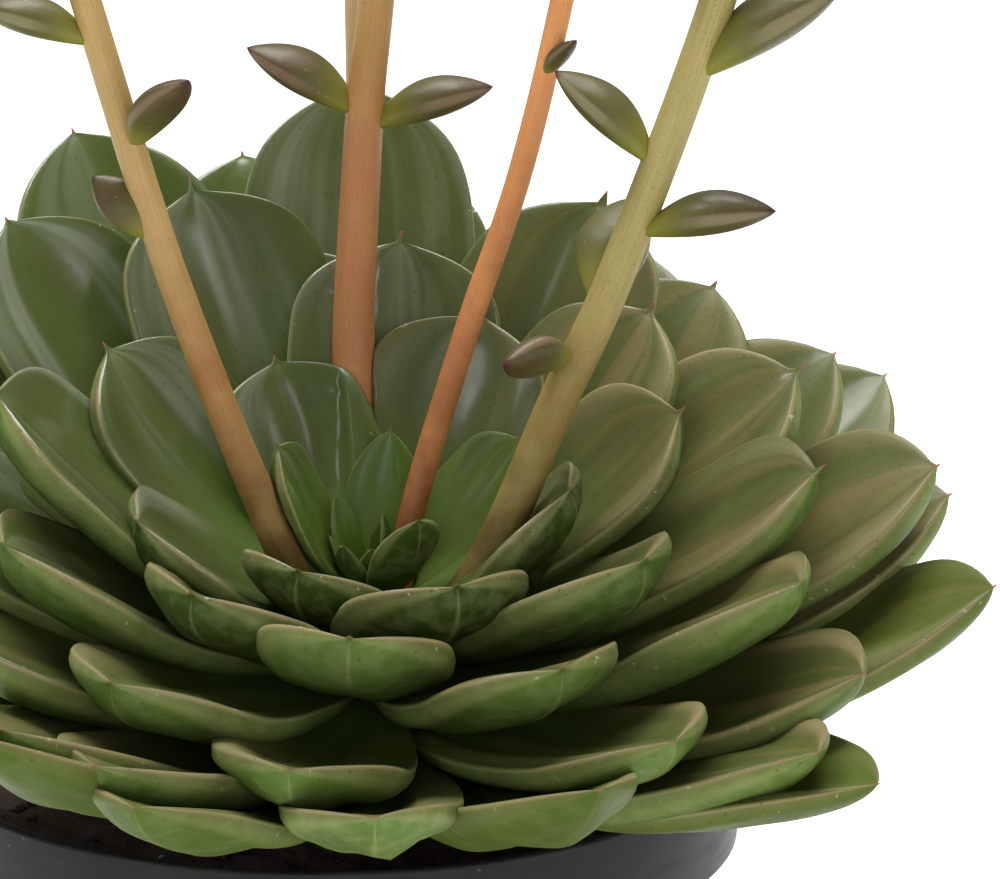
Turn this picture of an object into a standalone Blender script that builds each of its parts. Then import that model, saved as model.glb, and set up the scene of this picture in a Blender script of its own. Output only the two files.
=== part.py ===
"""A potted graptopetalum: a leaning rosette of fleshy leaves with five flower stalks, in a black nursery pot.

Run with: blender --background --python part.py
"""

import math
import random

import bmesh
import bpy
from mathutils import Matrix, Vector

# Edges flatter than this, in degrees, are shaded smooth
SHARP_ANGLE = 40.0

# Pot, in metres
POT_RADIUS = 0.0655
POT_HEIGHT = 0.105
RIM_BAND = 0.0162
STEP_IN = 0.0045
WALL = 0.0016
FLOOR = 0.003
BASE_RADIUS = 0.0465
FOOT_ROUND = 0.0025
BAND_DRAFT = 0.0008
BAND_FOOT_ROUND = 0.0006
POT_SEGMENTS = 30
DRAIN_HOLES = 8
DRAIN_RADIUS = 0.0045
DRAIN_CIRCLE = 0.0345
DRAIN_SEGMENTS = 8

# Soil
GAP = 0.0003
SOIL_TOP = POT_HEIGHT - 0.012
SOIL_LUMP = 0.0022
SOIL_SHOULDER = 0.006
SOIL_RINGS = (0.014, 0.028, 0.041, 0.053)

# Rosette: where the leaves spread from, and how its axis leans
HEART = Vector((0.007, -0.010, 0.1258))
LEAN_FORWARD = 17.0
LEAN_RIGHT = 1.5
STEM_RADIUS = 0.0105
STEM_FOOT = -0.055
STEM_HOLE_DEPTH = 0.05
STEM_PROFILE = (
    (0.0, 0.011), (0.0030, 0.0095), (0.0065, 0.003), (0.0105, -0.004), (0.0130, -0.012), (0.0130, -0.022)
)
STEM_SEGMENTS = 12

# Leaves: leaf 0 is the youngest full leaf, and each next one is older, lower and longer
LEAF_COUNT = 62
FIRST_AZIMUTH = 85.4
DIVERGENCE = 137.78
LEAF_LENGTHS = (0.0135, 0.1108)
LENGTH_POWER = 0.44
LEAF_RISES = (87.7, 11.4)
RISE_POWER = 0.25
WIDEST_LEAF = 0.0405
HALF_WIDE_LENGTH = 0.0362
FRONT_SLIM = 0.26
SLIM_AGE = 0.6
YOUNG_WIDTH = 0.68
YOUNG_BLUNTNESS = 1.5
YOUNG_UNTIL = 0.10
BLUNTNESS = (4.0, 2.0)
BLUNT_UNTIL = 0.6
SHOULDERS_END = (0.970, 0.988)
SHOULDERS_END_AGES = (0.3, 0.6)
POINT_FULLNESS = 1.8
THICKNESS_SHARE = 0.21
UPPER_SHARE = 0.28
MARGIN_FULLNESS = 0.6
CHANNEL_SHARE = 0.115
LEAF_SAG = 0.17
TWIST_JITTER = 5.0
ROOT_HEIGHTS = (0.006, -0.019)
BUD_COUNT = 7
BUD_LENGTHS = (0.0155, 0.026)
BUD_RISES = (86.0, 70.0)
LEAF_SEED = 7

# Leaves that the photo shows a little off the rule: turn in degrees, stretch in percent, lift in degrees
NUDGES = {
    -6: (-6, 11, -15), -4: (-6, -3, -6), -3: (1, 5, -7), -2: (0, -6, 12), -1: (15, -11, -5),
    0: (-4, 6, -1), 1: (-4, -13, 10), 2: (2, -9, 13), 3: (-4, -10, -2), 4: (-4, 0, -3), 5: (1, -5, -5),
    6: (-4, -3, 4), 7: (6, -3, -4), 8: (3, -2, 0), 9: (2, 0, 1), 10: (3, 3, -2), 12: (6, -1, -1),
    13: (-8, 3, 2), 14: (3, 1, 1), 15: (4, 10, 4), 17: (4, 0, 2), 18: (-7, 11, 5), 19: (6, 8, -2),
    21: (-13, 10, 3), 22: (1, 0, 0), 23: (0, 0, -4), 25: (-2, 1, -2), 26: (0, -8, -3), 27: (4, 2, 1), 29: (-4, -1, -3),
    30: (-10, 1, -3), 31: (7, 2, 7), 32: (2, 7, -1), 34: (12, 11, 7), 35: (-1, 0, -1), 37: (1, -5, -2),
    38: (-6, 1, -1), 39: (0, -8, -3), 40: (-7, -3, -2), 42: (2, -4, -5), 43: (-10, 0, 1), 45: (-2, -6, -2),
    46: (7, -3, 3), 48: (1, 0, 1), 50: (-3, -3, -7), 51: (-9, -3, 3), 52: (-1, 4, 5), 53: (0, -2, 3),
    55: (0, -10, -3), 56: (0, -1, 8), 58: (0, -20, -5), 59: (0, 0, 9), 60: (4, 0, 0), 61: (-5, -3, 2),
}

# Room for the leaves over the pot: how far from its axis, and how far above its rim or the soil
RIM_ZONE = (0.056, 0.071)
RIM_ROOM = 0.0008
SOIL_ROOM = 0.003

# Share of a leaf's length at each ring, tip first
OLD_LEAF_RINGS = (1.0, 0.975, 0.94, 0.87, 0.70, 0.40, 0.0)
BUD_LEAF_RINGS = (1.0, 0.95, 0.78, 0.45, 0.0)
OLD_LEAF_SIDES = 8
BUD_LEAF_SIDES = 6

# Flower stalks: base first, points of the route in millimetres, then the radius at base and top
STALKS = {
    "flower_stalk_1": {
        "route": (
            (1, -15, 126), (-5, -20, 138), (-11, -21, 153), (-16, -21, 166), (-24.4, -20, 190),
            (-35.3, -17, 227), (-46, -13, 264), (-50, -10, 302),
        ),
        "radii": (0.0028, 0.0022),
        "colour": (0.52, 0.36, 0.17),
    },
    "flower_stalk_2": {
        "route": (
            (6, -3, 128), (5, 9.5, 147), (4, 16.5, 163), (4.5, 18, 178), (6, 18.5, 202), (8, 18, 221),
            (13, 18, 275), (19, 18, 335),
        ),
        "radii": (0.0037, 0.0025),
        "colour": (0.55, 0.30, 0.18),
    },
    "flower_stalk_3": {
        "route": (
            (2, 6, 124), (1, 18, 144), (3, 26, 164), (4.8, 31, 184), (4.6, 32, 206), (4.4, 33, 221),
            (5, 36, 240), (4, 41, 262), (0, 52, 305),
        ),
        "radii": (0.0022, 0.0017),
        "colour": (0.60, 0.42, 0.22),
    },
    "flower_stalk_4": {
        "route": (
            (11, -13, 130), (14, -9, 146), (22, -5, 172), (30, -3, 196), (36, -2, 221), (43, 0, 256),
            (46, 3, 292),
        ),
        "radii": (0.0021, 0.0017),
        "colour": (0.62, 0.33, 0.14),
    },
    "flower_stalk_5": {
        "route": (
            (11, -15, 124), (18, -21, 130), (26, -26, 143), (36, -26, 167), (45, -24, 187),
            (60, -19, 228), (72, -15, 272), (78, -12, 320),
        ),
        "radii": (0.0033, 0.0026),
        "colour": (0.42, 0.38, 0.16),
    },
}
STALK_STEPS = 10
SOCKET_GAP = 0.0003

# Bracts on a stalk: height in millimetres, azimuth, length, slope above the horizontal and roll
BRACTS = {
    "flower_stalk_1": (
        (190, 168, 0.0145, 43, 55), (204, -45, 0.0185, 46, 0), (220, 170, 0.0200, 16, 0),
        (247, 40, 0.0160, 35, 0),
    ),
    "flower_stalk_2": (
        (200, 172, 0.0215, 30, 8), (198, 5, 0.0215, 18, 0), (234, 80, 0.0180, 40, 0),
        (250, 215, 0.0160, 35, 0),
    ),
    "flower_stalk_3": ((228, 140, 0.0120, 40, 0), (246, 60, 0.0110, 40, 0)),
    "flower_stalk_4": (
        (211, -35, 0.0095, 50, 0), (224, 150, 0.0120, 55, 0), (240, 20, 0.0120, 45, 0),
    ),
    "flower_stalk_5": (
        (173, 228, 0.0168, 10, -50), (180, 76, 0.0230, 36, 0), (192, -8, 0.0225, 12, 0),
        (202, 165, 0.0215, 42, 0), (215, 6, 0.0275, 32, 0), (229, 215, 0.0160, 25, 0),
        (246, 80, 0.0170, 40, 0),
    ),
}
BRACT_WIDTH_SHARE = 0.50
BRACT_THICKNESS_SHARE = 0.29
ARCH_SHARE = 0.07
BRACT_RINGS = (1.0, 0.84, 0.52, 0.17, 0.0)
BRACT_SIDES = 6

# Flower heads at the top of a stalk
FLOWERS_PER_STALK = 6
HEAD_START = 0.82
HEAD_TURN = 66
GOLDEN_ANGLE = 137.5
BRANCH_LENGTHS = (0.024, 0.010)
BRANCH_RADIUS = 0.0011
BRANCH_SIDES = 4
FLOWER_BUD_LENGTH = 0.0085
FLOWER_BUD_WIDTH = 0.0052
FLOWER_BUD_ROOT = 0.0008
FLOWER_BUD_RINGS = (1.0, 0.7, 0.3, 0.0)
FLOWER_BUD_SIDES = 5
PETALS = 5
PETAL_REACH = 0.0078
PETAL_NOTCH = 0.0032
OPEN_EVERY = 3

# An open flower's rings from its middle over the petals' edge and back: share of their reach, and height
FLOWER_RINGS = ((0.0, 0.0006), (1.0, 0.0026), (0.5, 0.0), (0.0, -0.0014))


def clear_scene():
    for obj in list(bpy.data.objects):
        bpy.data.objects.remove(obj, do_unlink=True)


def new_collection(name, hidden=False):
    collection = bpy.data.collections.new(name)
    collection.hide_render = hidden
    bpy.context.scene.collection.children.link(collection)
    return collection


def object_from_bmesh(bm, name, collection):
    """Makes a closed mesh an object, its faces pointing outwards."""
    if bm.calc_volume(signed=True) < 0:
        bmesh.ops.reverse_faces(bm, faces=bm.faces)
    mesh = bpy.data.meshes.new(name)
    bm.to_mesh(mesh)
    bm.free()
    obj = bpy.data.objects.new(name, mesh)
    collection.objects.link(obj)
    return obj


def make_cutter(obj):
    obj.hide_render = True
    obj.display_type = "WIRE"
    return obj


def apply_modifiers(obj):
    graph = bpy.context.evaluated_depsgraph_get()
    mesh = bpy.data.meshes.new_from_object(obj.evaluated_get(graph))
    obj.modifiers.clear()
    obj.data = mesh


def boolean(obj, operand, operation, solver="EXACT"):
    """Joins or cuts a whole collection of closed meshes in one step, and applies it."""
    modifier = obj.modifiers.new(operation.title(), "BOOLEAN")
    modifier.operation = operation
    modifier.operand_type = "COLLECTION"
    modifier.collection = operand
    modifier.solver = solver
    apply_modifiers(obj)


def finish(obj, material_name, colour, roughness):
    """Gives a piece its material and shades it smooth but for its real edges."""
    shown = bpy.data.materials.new(material_name)
    shown.use_nodes = True
    shader = shown.node_tree.nodes["Principled BSDF"]
    shader.inputs["Base Color"].default_value = (*colour, 1.0)
    shader.inputs["Roughness"].default_value = roughness
    shader.inputs["Metallic"].default_value = 0.0
    shown.diffuse_color = (*colour, 1.0)
    obj.data.materials.append(shown)
    obj.data.shade_smooth()
    obj.data.set_sharp_from_angle(angle=math.radians(SHARP_ANGLE))


def empty_collection(collection):
    for obj in list(collection.objects):
        bpy.data.objects.remove(obj, do_unlink=True)
    bpy.data.collections.remove(collection)


def ring_of(vertex, steps):
    """Which ring of a new sphere a vertex is on, counted from its top pole."""
    return round(math.acos(max(-1.0, min(1.0, vertex.co.z))) / math.pi * steps)


def turned_object(name, profile, segments, collection):
    """A closed solid turned about Z from (radius, height) points that start and end on the axis."""
    bm = bmesh.new()
    verts = [bm.verts.new((radius, 0.0, height)) for radius, height in profile]
    for first, second in zip(verts, verts[1:]):
        bm.edges.new((first, second))
    mesh = bpy.data.meshes.new(name)
    bm.to_mesh(mesh)
    bm.free()
    obj = bpy.data.objects.new(name, mesh)
    collection.objects.link(obj)
    screw = obj.modifiers.new("Turn", "SCREW")
    screw.steps = segments
    screw.render_steps = segments
    screw.use_merge_vertices = True
    screw.merge_threshold = 0.00005
    return obj


def arc(centre, radius, start, end, steps):
    """Points of a rounded corner, angles in degrees."""
    points = []
    for step in range(steps + 1):
        angle = math.radians(start + (end - start) * step / steps)
        points.append((centre[0] + radius * math.cos(angle), centre[1] + radius * math.sin(angle)))
    return points


# Pot


def pot_profile():
    """From the inside floor up the inner wall, over the rim, down the outside to the base."""
    body_top = POT_RADIUS - STEP_IN
    band_foot = POT_HEIGHT - RIM_BAND
    lip = WALL / 2
    inner = [
        (0.0, FLOOR),
        (BASE_RADIUS - WALL, FLOOR),
        (body_top - WALL, band_foot),
        (POT_RADIUS - BAND_DRAFT - WALL, band_foot + STEP_IN),
    ]
    rim = arc((POT_RADIUS - lip, POT_HEIGHT - lip), lip, 180, 0, 3)
    outer = [
        (POT_RADIUS - BAND_DRAFT, band_foot + BAND_FOOT_ROUND),
        (POT_RADIUS - BAND_DRAFT - BAND_FOOT_ROUND, band_foot),
        (body_top, band_foot),
    ]
    foot = arc((BASE_RADIUS - FOOT_ROUND, FOOT_ROUND), FOOT_ROUND, 0, -90, 2)
    return inner + rim + outer + foot + [(0.0, 0.0)]


def make_pot(collection, cutters):
    pot = turned_object("pot", pot_profile(), POT_SEGMENTS, collection)
    apply_modifiers(pot)
    for hole in range(DRAIN_HOLES):
        angle = 2 * math.pi * (hole + 0.5) / DRAIN_HOLES
        middle = Vector((DRAIN_CIRCLE * math.cos(angle), DRAIN_CIRCLE * math.sin(angle), FLOOR / 2))
        bm = bmesh.new()
        bmesh.ops.create_cone(
            bm, cap_ends=True, segments=DRAIN_SEGMENTS, radius1=DRAIN_RADIUS, radius2=DRAIN_RADIUS,
            depth=4 * FLOOR, matrix=Matrix.Translation(middle),
        )
        make_cutter(object_from_bmesh(bm, f"drain_hole_{hole + 1}", cutters))
    boolean(pot, cutters, "DIFFERENCE")
    finish(pot, "black_plastic", (0.018, 0.018, 0.020), 0.38)


# Soil


def pot_inner_radius(height):
    """Radius of the pot's inner wall at a height below the rim band."""
    share = (height - FLOOR) / (POT_HEIGHT - RIM_BAND - FLOOR)
    return BASE_RADIUS - WALL + (POT_RADIUS - STEP_IN - BASE_RADIUS) * share


def lump(x, y):
    """Height of the crumbly soil top above its mean."""
    waves = math.sin(310 * x + 1.3) * math.cos(270 * y - 0.4) + 0.6 * math.sin(620 * (x + y))
    return SOIL_LUMP * 0.5 * waves


def make_soil(collection, cutters):
    shoulder = SOIL_TOP - SOIL_SHOULDER
    edge_top = pot_inner_radius(shoulder) - GAP
    edge_foot = pot_inner_radius(FLOOR) - GAP
    top = [(0.0, SOIL_TOP)] + [(radius, SOIL_TOP) for radius in SOIL_RINGS]
    side = [(edge_top - 0.001, 0.5 * (SOIL_TOP + shoulder)), (edge_top, shoulder), (edge_foot, FLOOR + GAP)]
    profile = top + side + [(0.0, FLOOR + GAP)]
    soil = turned_object("soil", profile, POT_SEGMENTS, collection)
    apply_modifiers(soil)
    for vertex in soil.data.vertices:
        if vertex.co.z > SOIL_TOP - 0.0001:
            vertex.co.z += lump(vertex.co.x, vertex.co.y)
    bm = bmesh.new()
    radius = STEM_RADIUS + GAP
    bmesh.ops.create_cone(
        bm, cap_ends=True, segments=STEM_SEGMENTS, radius1=radius, radius2=radius, depth=STEM_HOLE_DEPTH,
        matrix=rosette_matrix() @ Matrix.Translation((0, 0, STEM_FOOT - GAP + STEM_HOLE_DEPTH / 2)),
    )
    make_cutter(object_from_bmesh(bm, "stem_hole", cutters))
    boolean(soil, cutters, "DIFFERENCE")
    finish(soil, "peat_soil", (0.075, 0.040, 0.022), 0.95)


# Leaves


def rosette_matrix():
    """From the rosette's own frame, with its axis on +Z, to the world."""
    forward = Matrix.Rotation(math.radians(LEAN_FORWARD), 4, "X")
    right = Matrix.Rotation(math.radians(LEAN_RIGHT), 4, "Y")
    return Matrix.Translation(HEART) @ forward @ right


def ramp(value, low, high):
    """A smooth step from 0 at low to 1 at high."""
    share = max(0.0, min(1.0, (value - low) / (high - low)))
    return share * share * (3.0 - 2.0 * share)


def outline(share, bluntness, shoulders_end):
    """Half width of a leaf along its length: shoulders, the blunter the broader, then a drawn-out point."""
    widest = 0.66
    if share < widest:
        return 0.25 + 0.75 * math.sin(0.5 * math.pi * share / widest) ** 1.2
    fall = min((share - widest) / (shoulders_end - widest), 1.0)
    shoulder = (1.0 - fall ** bluntness) ** 0.75
    point = POINT_FULLNESS * (1.0 - share) * ramp(share, 0.80, 0.94)
    return (shoulder ** 2 + point ** 2) ** 0.5


def depth_shape(share, bluntness, shoulders_end):
    """Thickness of a leaf along its length, fullest two thirds of the way out."""
    fullest = 0.66
    if share < fullest:
        return 0.62 + 0.38 * math.sin(0.5 * math.pi * share / fullest)
    return outline(share, bluntness, shoulders_end) ** 0.8


def leaf_width(length):
    """Width of a leaf whose tip is this far from the heart: slim in the bud, soon nearly full."""
    return WIDEST_LEAF / (1.0 + (HALF_WIDE_LENGTH / length) ** 2.6)


def between(ends, share):
    return ends[0] + (ends[1] - ends[0]) * share


class Leaf:
    """One leaf in the rosette's frame: a curved spoon from its root on the stem to its tip."""

    def __init__(self, number, jitter):
        turn, stretch, lift = NUDGES.get(number, (0, 0, 0))
        self.number = number
        self.age = max((number + 1) / LEAF_COUNT, 0.0)
        if number >= 0:
            length = between(LEAF_LENGTHS, self.age ** LENGTH_POWER)
            rise = between(LEAF_RISES, self.age ** RISE_POWER)
            self.rings, self.sides = OLD_LEAF_RINGS, OLD_LEAF_SIDES
        else:
            youth = 1 + number / BUD_COUNT
            length = between(BUD_LENGTHS, youth)
            rise = between(BUD_RISES, youth)
            self.rings, self.sides = BUD_LEAF_RINGS, BUD_LEAF_SIDES
        length *= 1.0 + 0.01 * stretch
        rise += lift
        azimuth = FIRST_AZIMUTH - DIVERGENCE * number + turn
        self.set_form(length, azimuth)
        self.root = Vector((0.0, 0.0, between(ROOT_HEIGHTS, self.age)))
        self.tip = length * Vector((math.cos(math.radians(rise)), 0.0, math.sin(math.radians(rise))))
        self.turn = rosette_matrix() @ Matrix.Rotation(math.radians(azimuth), 4, "Z")
        self.twist = math.radians(jitter.uniform(-TWIST_JITTER, TWIST_JITTER))
        self.set_sag(LEAF_SAG)
        while not self.clears_pot():
            self.set_sag(self.sag - 0.02)

    def set_form(self, length, azimuth):
        """Width and bluntness: slim and pointed in the heart, and slimmer again towards the open front."""
        grown = ramp(self.age, 0.0, YOUNG_UNTIL)
        front = max(0.0, -math.sin(math.radians(azimuth))) * min(1.0, self.age / SLIM_AGE)
        self.width = leaf_width(length) * between((YOUNG_WIDTH, 1.0), grown) * (1.0 - FRONT_SLIM * front)
        back = max(0.0, math.sin(math.radians(azimuth)))
        blunt = between(BLUNTNESS, max(self.age - BLUNT_UNTIL, 0.0) / (1 - BLUNT_UNTIL) * (1.0 - back))
        self.bluntness = between((YOUNG_BLUNTNESS, blunt), grown)
        self.shoulders_end = between(SHOULDERS_END, ramp(self.age, *SHOULDERS_END_AGES))

    def set_sag(self, sag):
        """Bends the leaf: it hangs below the line from root to tip, or arches over it if sag is negative."""
        chord = self.tip - self.root
        self.sag = sag
        self.knee = self.root + 0.5 * chord + sag * Vector((chord.z, 0.0, -chord.x))

    def place(self, share, across, up):
        """The world place of a point at a share of the length, so far across and so far above the middle."""
        rest = 1.0 - share
        centre = rest * rest * self.root + 2 * rest * share * self.knee + share * share * self.tip
        along = (rest * (self.knee - self.root) + share * (self.tip - self.knee)).normalized()
        normal = Vector((-along.z, 0.0, along.x))
        roll = Matrix.Rotation(self.twist * share, 3, along)
        return self.turn @ (centre + roll @ (across * Vector((0.0, 1.0, 0.0)) + up * normal))

    def clears_pot(self):
        """Whether the leaf's underside, as its rings join it up, stays above the pot's rim and the soil."""
        for angle in (-0.25 * math.pi, -0.5 * math.pi, -0.75 * math.pi, 0.0, math.pi):
            skin = [leaf_point(self, share, angle) for share in self.rings]
            for start, end in zip(skin, skin[1:]):
                for step in range(12):
                    point = start.lerp(end, step / 12)
                    if point.z < lowest_height(math.hypot(point.x, point.y)):
                        return False
        return True


def lowest_height(radius):
    """How low a leaf may reach, so far from the pot's axis."""
    if radius > RIM_ZONE[1] or radius < STEM_PROFILE[-1][0] + 0.012:
        return 0.0
    return POT_HEIGHT + RIM_ROOM if radius > RIM_ZONE[0] else SOIL_TOP + SOIL_ROOM


def leaf_point(leaf, share, angle):
    """A point of the leaf's skin: angle 0 is one margin, 90 degrees the middle of the upper face."""
    half_width = 0.5 * leaf.width * outline(share, leaf.bluntness, leaf.shoulders_end)
    thickness = THICKNESS_SHARE * leaf.width * depth_shape(share, leaf.bluntness, leaf.shoulders_end)
    across, facing = math.cos(angle), math.sin(angle)
    channel = 2 * CHANNEL_SHARE * half_width * abs(across) ** 1.6
    bulge = UPPER_SHARE if facing > 0 else UPPER_SHARE - 1.0
    height = channel + bulge * thickness * abs(facing) ** MARGIN_FULLNESS
    return leaf.place(share, half_width * across, height)


def leaf_object(leaf, collection):
    bm = bmesh.new()
    steps = len(leaf.rings) - 1
    bmesh.ops.create_uvsphere(bm, u_segments=leaf.sides, v_segments=steps, radius=1.0)
    for vertex in bm.verts:
        share = leaf.rings[ring_of(vertex, steps)]
        vertex.co = leaf_point(leaf, share, math.atan2(vertex.co.y, vertex.co.x))
    return object_from_bmesh(bm, f"leaf_{leaf.number}", collection)


def fill_pockets(obj):
    """Removes the skin of any space that the crowded leaves close off inside."""
    bm = bmesh.new()
    bm.from_mesh(obj.data)
    islands = []
    waiting = set(bm.faces)
    while waiting:
        island = {waiting.pop()}
        edge = set(island)
        while edge:
            edge = {near for face in edge for side in face.edges for near in side.link_faces} & waiting
            waiting -= edge
            island |= edge
        islands.append(island)
    islands.sort(key=len)
    for island in islands[:-1]:
        bmesh.ops.delete(bm, geom=list({vertex for face in island for vertex in face.verts}), context="VERTS")
    bm.to_mesh(obj.data)
    bm.free()


def make_rosette(collection, cutters):
    shoulder = STEM_PROFILE[-1][1] - 0.004
    profile = list(STEM_PROFILE) + [(STEM_RADIUS, shoulder), (STEM_RADIUS, STEM_FOOT), (0.0, STEM_FOOT)]
    rosette = turned_object("rosette", profile, STEM_SEGMENTS, collection)
    apply_modifiers(rosette)
    rosette.data.transform(rosette_matrix())
    leaves = new_collection("leaves")
    jitter = random.Random(LEAF_SEED)
    for number in range(-BUD_COUNT, LEAF_COUNT):
        leaf_object(Leaf(number, jitter), leaves)
    boolean(rosette, leaves, "UNION", solver="MANIFOLD")
    empty_collection(leaves)
    boolean(rosette, cutters, "DIFFERENCE", solver="MANIFOLD")
    fill_pockets(rosette)
    finish(rosette, "leaf_green", (0.085, 0.165, 0.062), 0.42)


# Flower stalks


def stalk_tube(name, label, extra_radius, collection):
    """The stem of a stalk as a smooth tapering tube through its route's points."""
    curve = bpy.data.curves.new(label, "CURVE")
    curve.dimensions = "3D"
    curve.bevel_depth = 1.0
    curve.bevel_resolution = 1
    curve.use_fill_caps = True
    points = [route_point(name, step / STALK_STEPS) for step in range(STALK_STEPS + 1)]
    spline = curve.splines.new("POLY")
    spline.points.add(STALK_STEPS)
    for step, (target, point) in enumerate(zip(spline.points, points)):
        target.co = (*point, 1.0)
        target.radius = stalk_radius(name, step / STALK_STEPS) + extra_radius
    obj = bpy.data.objects.new(label, curve)
    collection.objects.link(obj)
    graph = bpy.context.evaluated_depsgraph_get()
    mesh = bpy.data.meshes.new_from_object(obj.evaluated_get(graph))
    bpy.data.objects.remove(obj, do_unlink=True)
    bm = bmesh.new()
    bm.from_mesh(mesh)
    bmesh.ops.remove_doubles(bm, verts=bm.verts, dist=0.00001)
    return object_from_bmesh(bm, label, collection)


def stalk_radius(name, share):
    return between(STALKS[name]["radii"], share)


def route_point(name, share):
    """A point on the smooth line through the route, a Catmull-Rom curve, in metres."""
    route = [Vector(point) * 0.001 for point in STALKS[name]["route"]]
    route = [2 * route[0] - route[1]] + route + [2 * route[-1] - route[-2]]
    spans = len(route) - 3
    span = min(int(share * spans), spans - 1)
    t = share * spans - span
    a, b, c, d = route[span:span + 4]
    bend = (2 * a - 5 * b + 4 * c - d) * t ** 2 + (3 * b - a - 3 * c + d) * t ** 3
    return b + 0.5 * ((c - a) * t + bend)


def share_at_height(name, height):
    """How far along the stalk it reaches a height, found by halving."""
    low, high = 0.0, 1.0
    for _ in range(20):
        middle = 0.5 * (low + high)
        if route_point(name, middle).z < height:
            low = middle
        else:
            high = middle
    return low


def heading(azimuth, slope):
    """A direction from its compass angle and its slope above the horizontal, in degrees."""
    turn, tilt = math.radians(azimuth), math.radians(slope)
    return Vector((math.cos(tilt) * math.cos(turn), math.cos(tilt) * math.sin(turn), math.sin(tilt)))


def frame_along(direction, origin):
    """A matrix whose Z runs along the direction and whose Y lies as near upwards as it can."""
    side = direction.cross(Vector((0, 0, 1)))
    side = side.normalized() if side.length > 0.01 else Vector((1, 0, 0))
    upper = side.cross(direction)
    turned = Matrix((side, upper, direction)).transposed().to_4x4()
    return Matrix.Translation(origin) @ turned


def spindle_full(share, belly):
    """Half width of a pointed body along its length, widest at the belly."""
    if not 0 < share < 1:
        return 0.0
    return math.sin(math.pi * share ** (math.log(0.5) / math.log(belly))) ** 0.8


def spindle(name, place, size, rings, sides, collection, belly=0.55):
    """A closed pointed body along +Z of its frame, arched a little upwards: a bract or a flower bud."""
    length, width, thickness = size
    bm = bmesh.new()
    steps = len(rings) - 1
    bmesh.ops.create_uvsphere(bm, u_segments=sides, v_segments=steps, radius=1.0)
    for vertex in bm.verts:
        share = rings[ring_of(vertex, steps)]
        angle = math.atan2(vertex.co.y, vertex.co.x)
        full = spindle_full(share, belly)
        lift = ARCH_SHARE * length * math.sin(math.pi * share)
        across, up = 0.5 * width * full * math.cos(angle), 0.5 * thickness * full * math.sin(angle) + lift
        vertex.co = place @ Vector((across, up, length * share))
    return object_from_bmesh(bm, name, collection)


def add_bracts(name, pieces):
    for height, azimuth, length, slope, roll in BRACTS[name]:
        size = (length, BRACT_WIDTH_SHARE * length, BRACT_THICKNESS_SHARE * length)
        place = frame_along(heading(azimuth, slope), route_point(name, share_at_height(name, 0.001 * height)))
        place = place @ Matrix.Rotation(math.radians(roll), 4, "Z")
        spindle(f"{name}_bract", place, size, BRACT_RINGS, BRACT_SIDES, pieces)


def add_twig(start, end, pieces):
    direction = end - start
    bm = bmesh.new()
    bmesh.ops.create_cone(
        bm, cap_ends=True, segments=BRANCH_SIDES, radius1=BRANCH_RADIUS, radius2=0.8 * BRANCH_RADIUS,
        depth=direction.length,
        matrix=frame_along(direction.normalized(), start + 0.5 * direction),
    )
    object_from_bmesh(bm, "twig", pieces)


def add_flower_bud(end, direction, pieces):
    place = frame_along(direction, end - FLOWER_BUD_ROOT * direction)
    size = (FLOWER_BUD_LENGTH, FLOWER_BUD_WIDTH, FLOWER_BUD_WIDTH)
    spindle("flower_bud", place, size, FLOWER_BUD_RINGS, FLOWER_BUD_SIDES, pieces, belly=0.4)


def add_open_flower(end, direction, pieces):
    """A cupped star of five pointed petals grown as one."""
    bm = bmesh.new()
    steps = len(FLOWER_RINGS) - 1
    bmesh.ops.create_uvsphere(bm, u_segments=2 * PETALS, v_segments=steps, radius=1.0)
    frame = frame_along(direction, end)
    for vertex in bm.verts:
        column = round(math.atan2(vertex.co.y, vertex.co.x) / math.pi * PETALS)
        reach = PETAL_NOTCH if column % 2 else PETAL_REACH
        share, height = FLOWER_RINGS[ring_of(vertex, steps)]
        angle = math.pi * column / PETALS
        vertex.co = frame @ Vector((share * reach * math.cos(angle), share * reach * math.sin(angle), height))
    object_from_bmesh(bm, "open_flower", pieces)


def add_flower_head(name, number, pieces):
    """Short branches by the golden angle up the last part of the stalk, each with a bud or an open flower."""
    for flower in range(FLOWERS_PER_STALK):
        climb = flower / (FLOWERS_PER_STALK - 1)
        share = HEAD_START + (1.0 - HEAD_START) * climb
        start = route_point(name, share)
        direction = heading(GOLDEN_ANGLE * flower + HEAD_TURN * number, 25 + 40 * climb)
        end = start + between(BRANCH_LENGTHS, climb) * direction
        add_twig(start, end, pieces)
        if flower % OPEN_EVERY == 0:
            add_open_flower(end, direction, pieces)
        else:
            add_flower_bud(end, direction, pieces)


def make_stalk(name, number, collection, sockets):
    make_cutter(stalk_tube(name, name + "_socket", SOCKET_GAP, sockets))
    stalk = stalk_tube(name, name, 0.0, collection)
    pieces = new_collection(name + "_pieces")
    add_bracts(name, pieces)
    add_flower_head(name, number, pieces)
    boolean(stalk, pieces, "UNION")
    empty_collection(pieces)
    finish(stalk, name + "_skin", STALKS[name]["colour"], 0.5)


def main():
    clear_scene()
    plant = new_collection("potted_graptopetalum")
    drain_cutters = new_collection("drain_cutters", hidden=True)
    stem_cutters = new_collection("stem_cutters", hidden=True)
    sockets = new_collection("stalk_sockets", hidden=True)
    make_pot(plant, drain_cutters)
    make_soil(plant, stem_cutters)
    for number, name in enumerate(STALKS):
        make_stalk(name, number, plant, sockets)
    make_rosette(plant, sockets)


main()
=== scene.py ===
"""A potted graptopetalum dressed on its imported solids: leaves, flower stalks, pot, soil and a plain stage.

Laid out as a Blender add-on and run as a script. Each operator makes one piece or a group of like pieces.
"""

import math
import random

import bmesh
import bpy
import numpy as np
from mathutils import Matrix, Vector, noise


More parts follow.
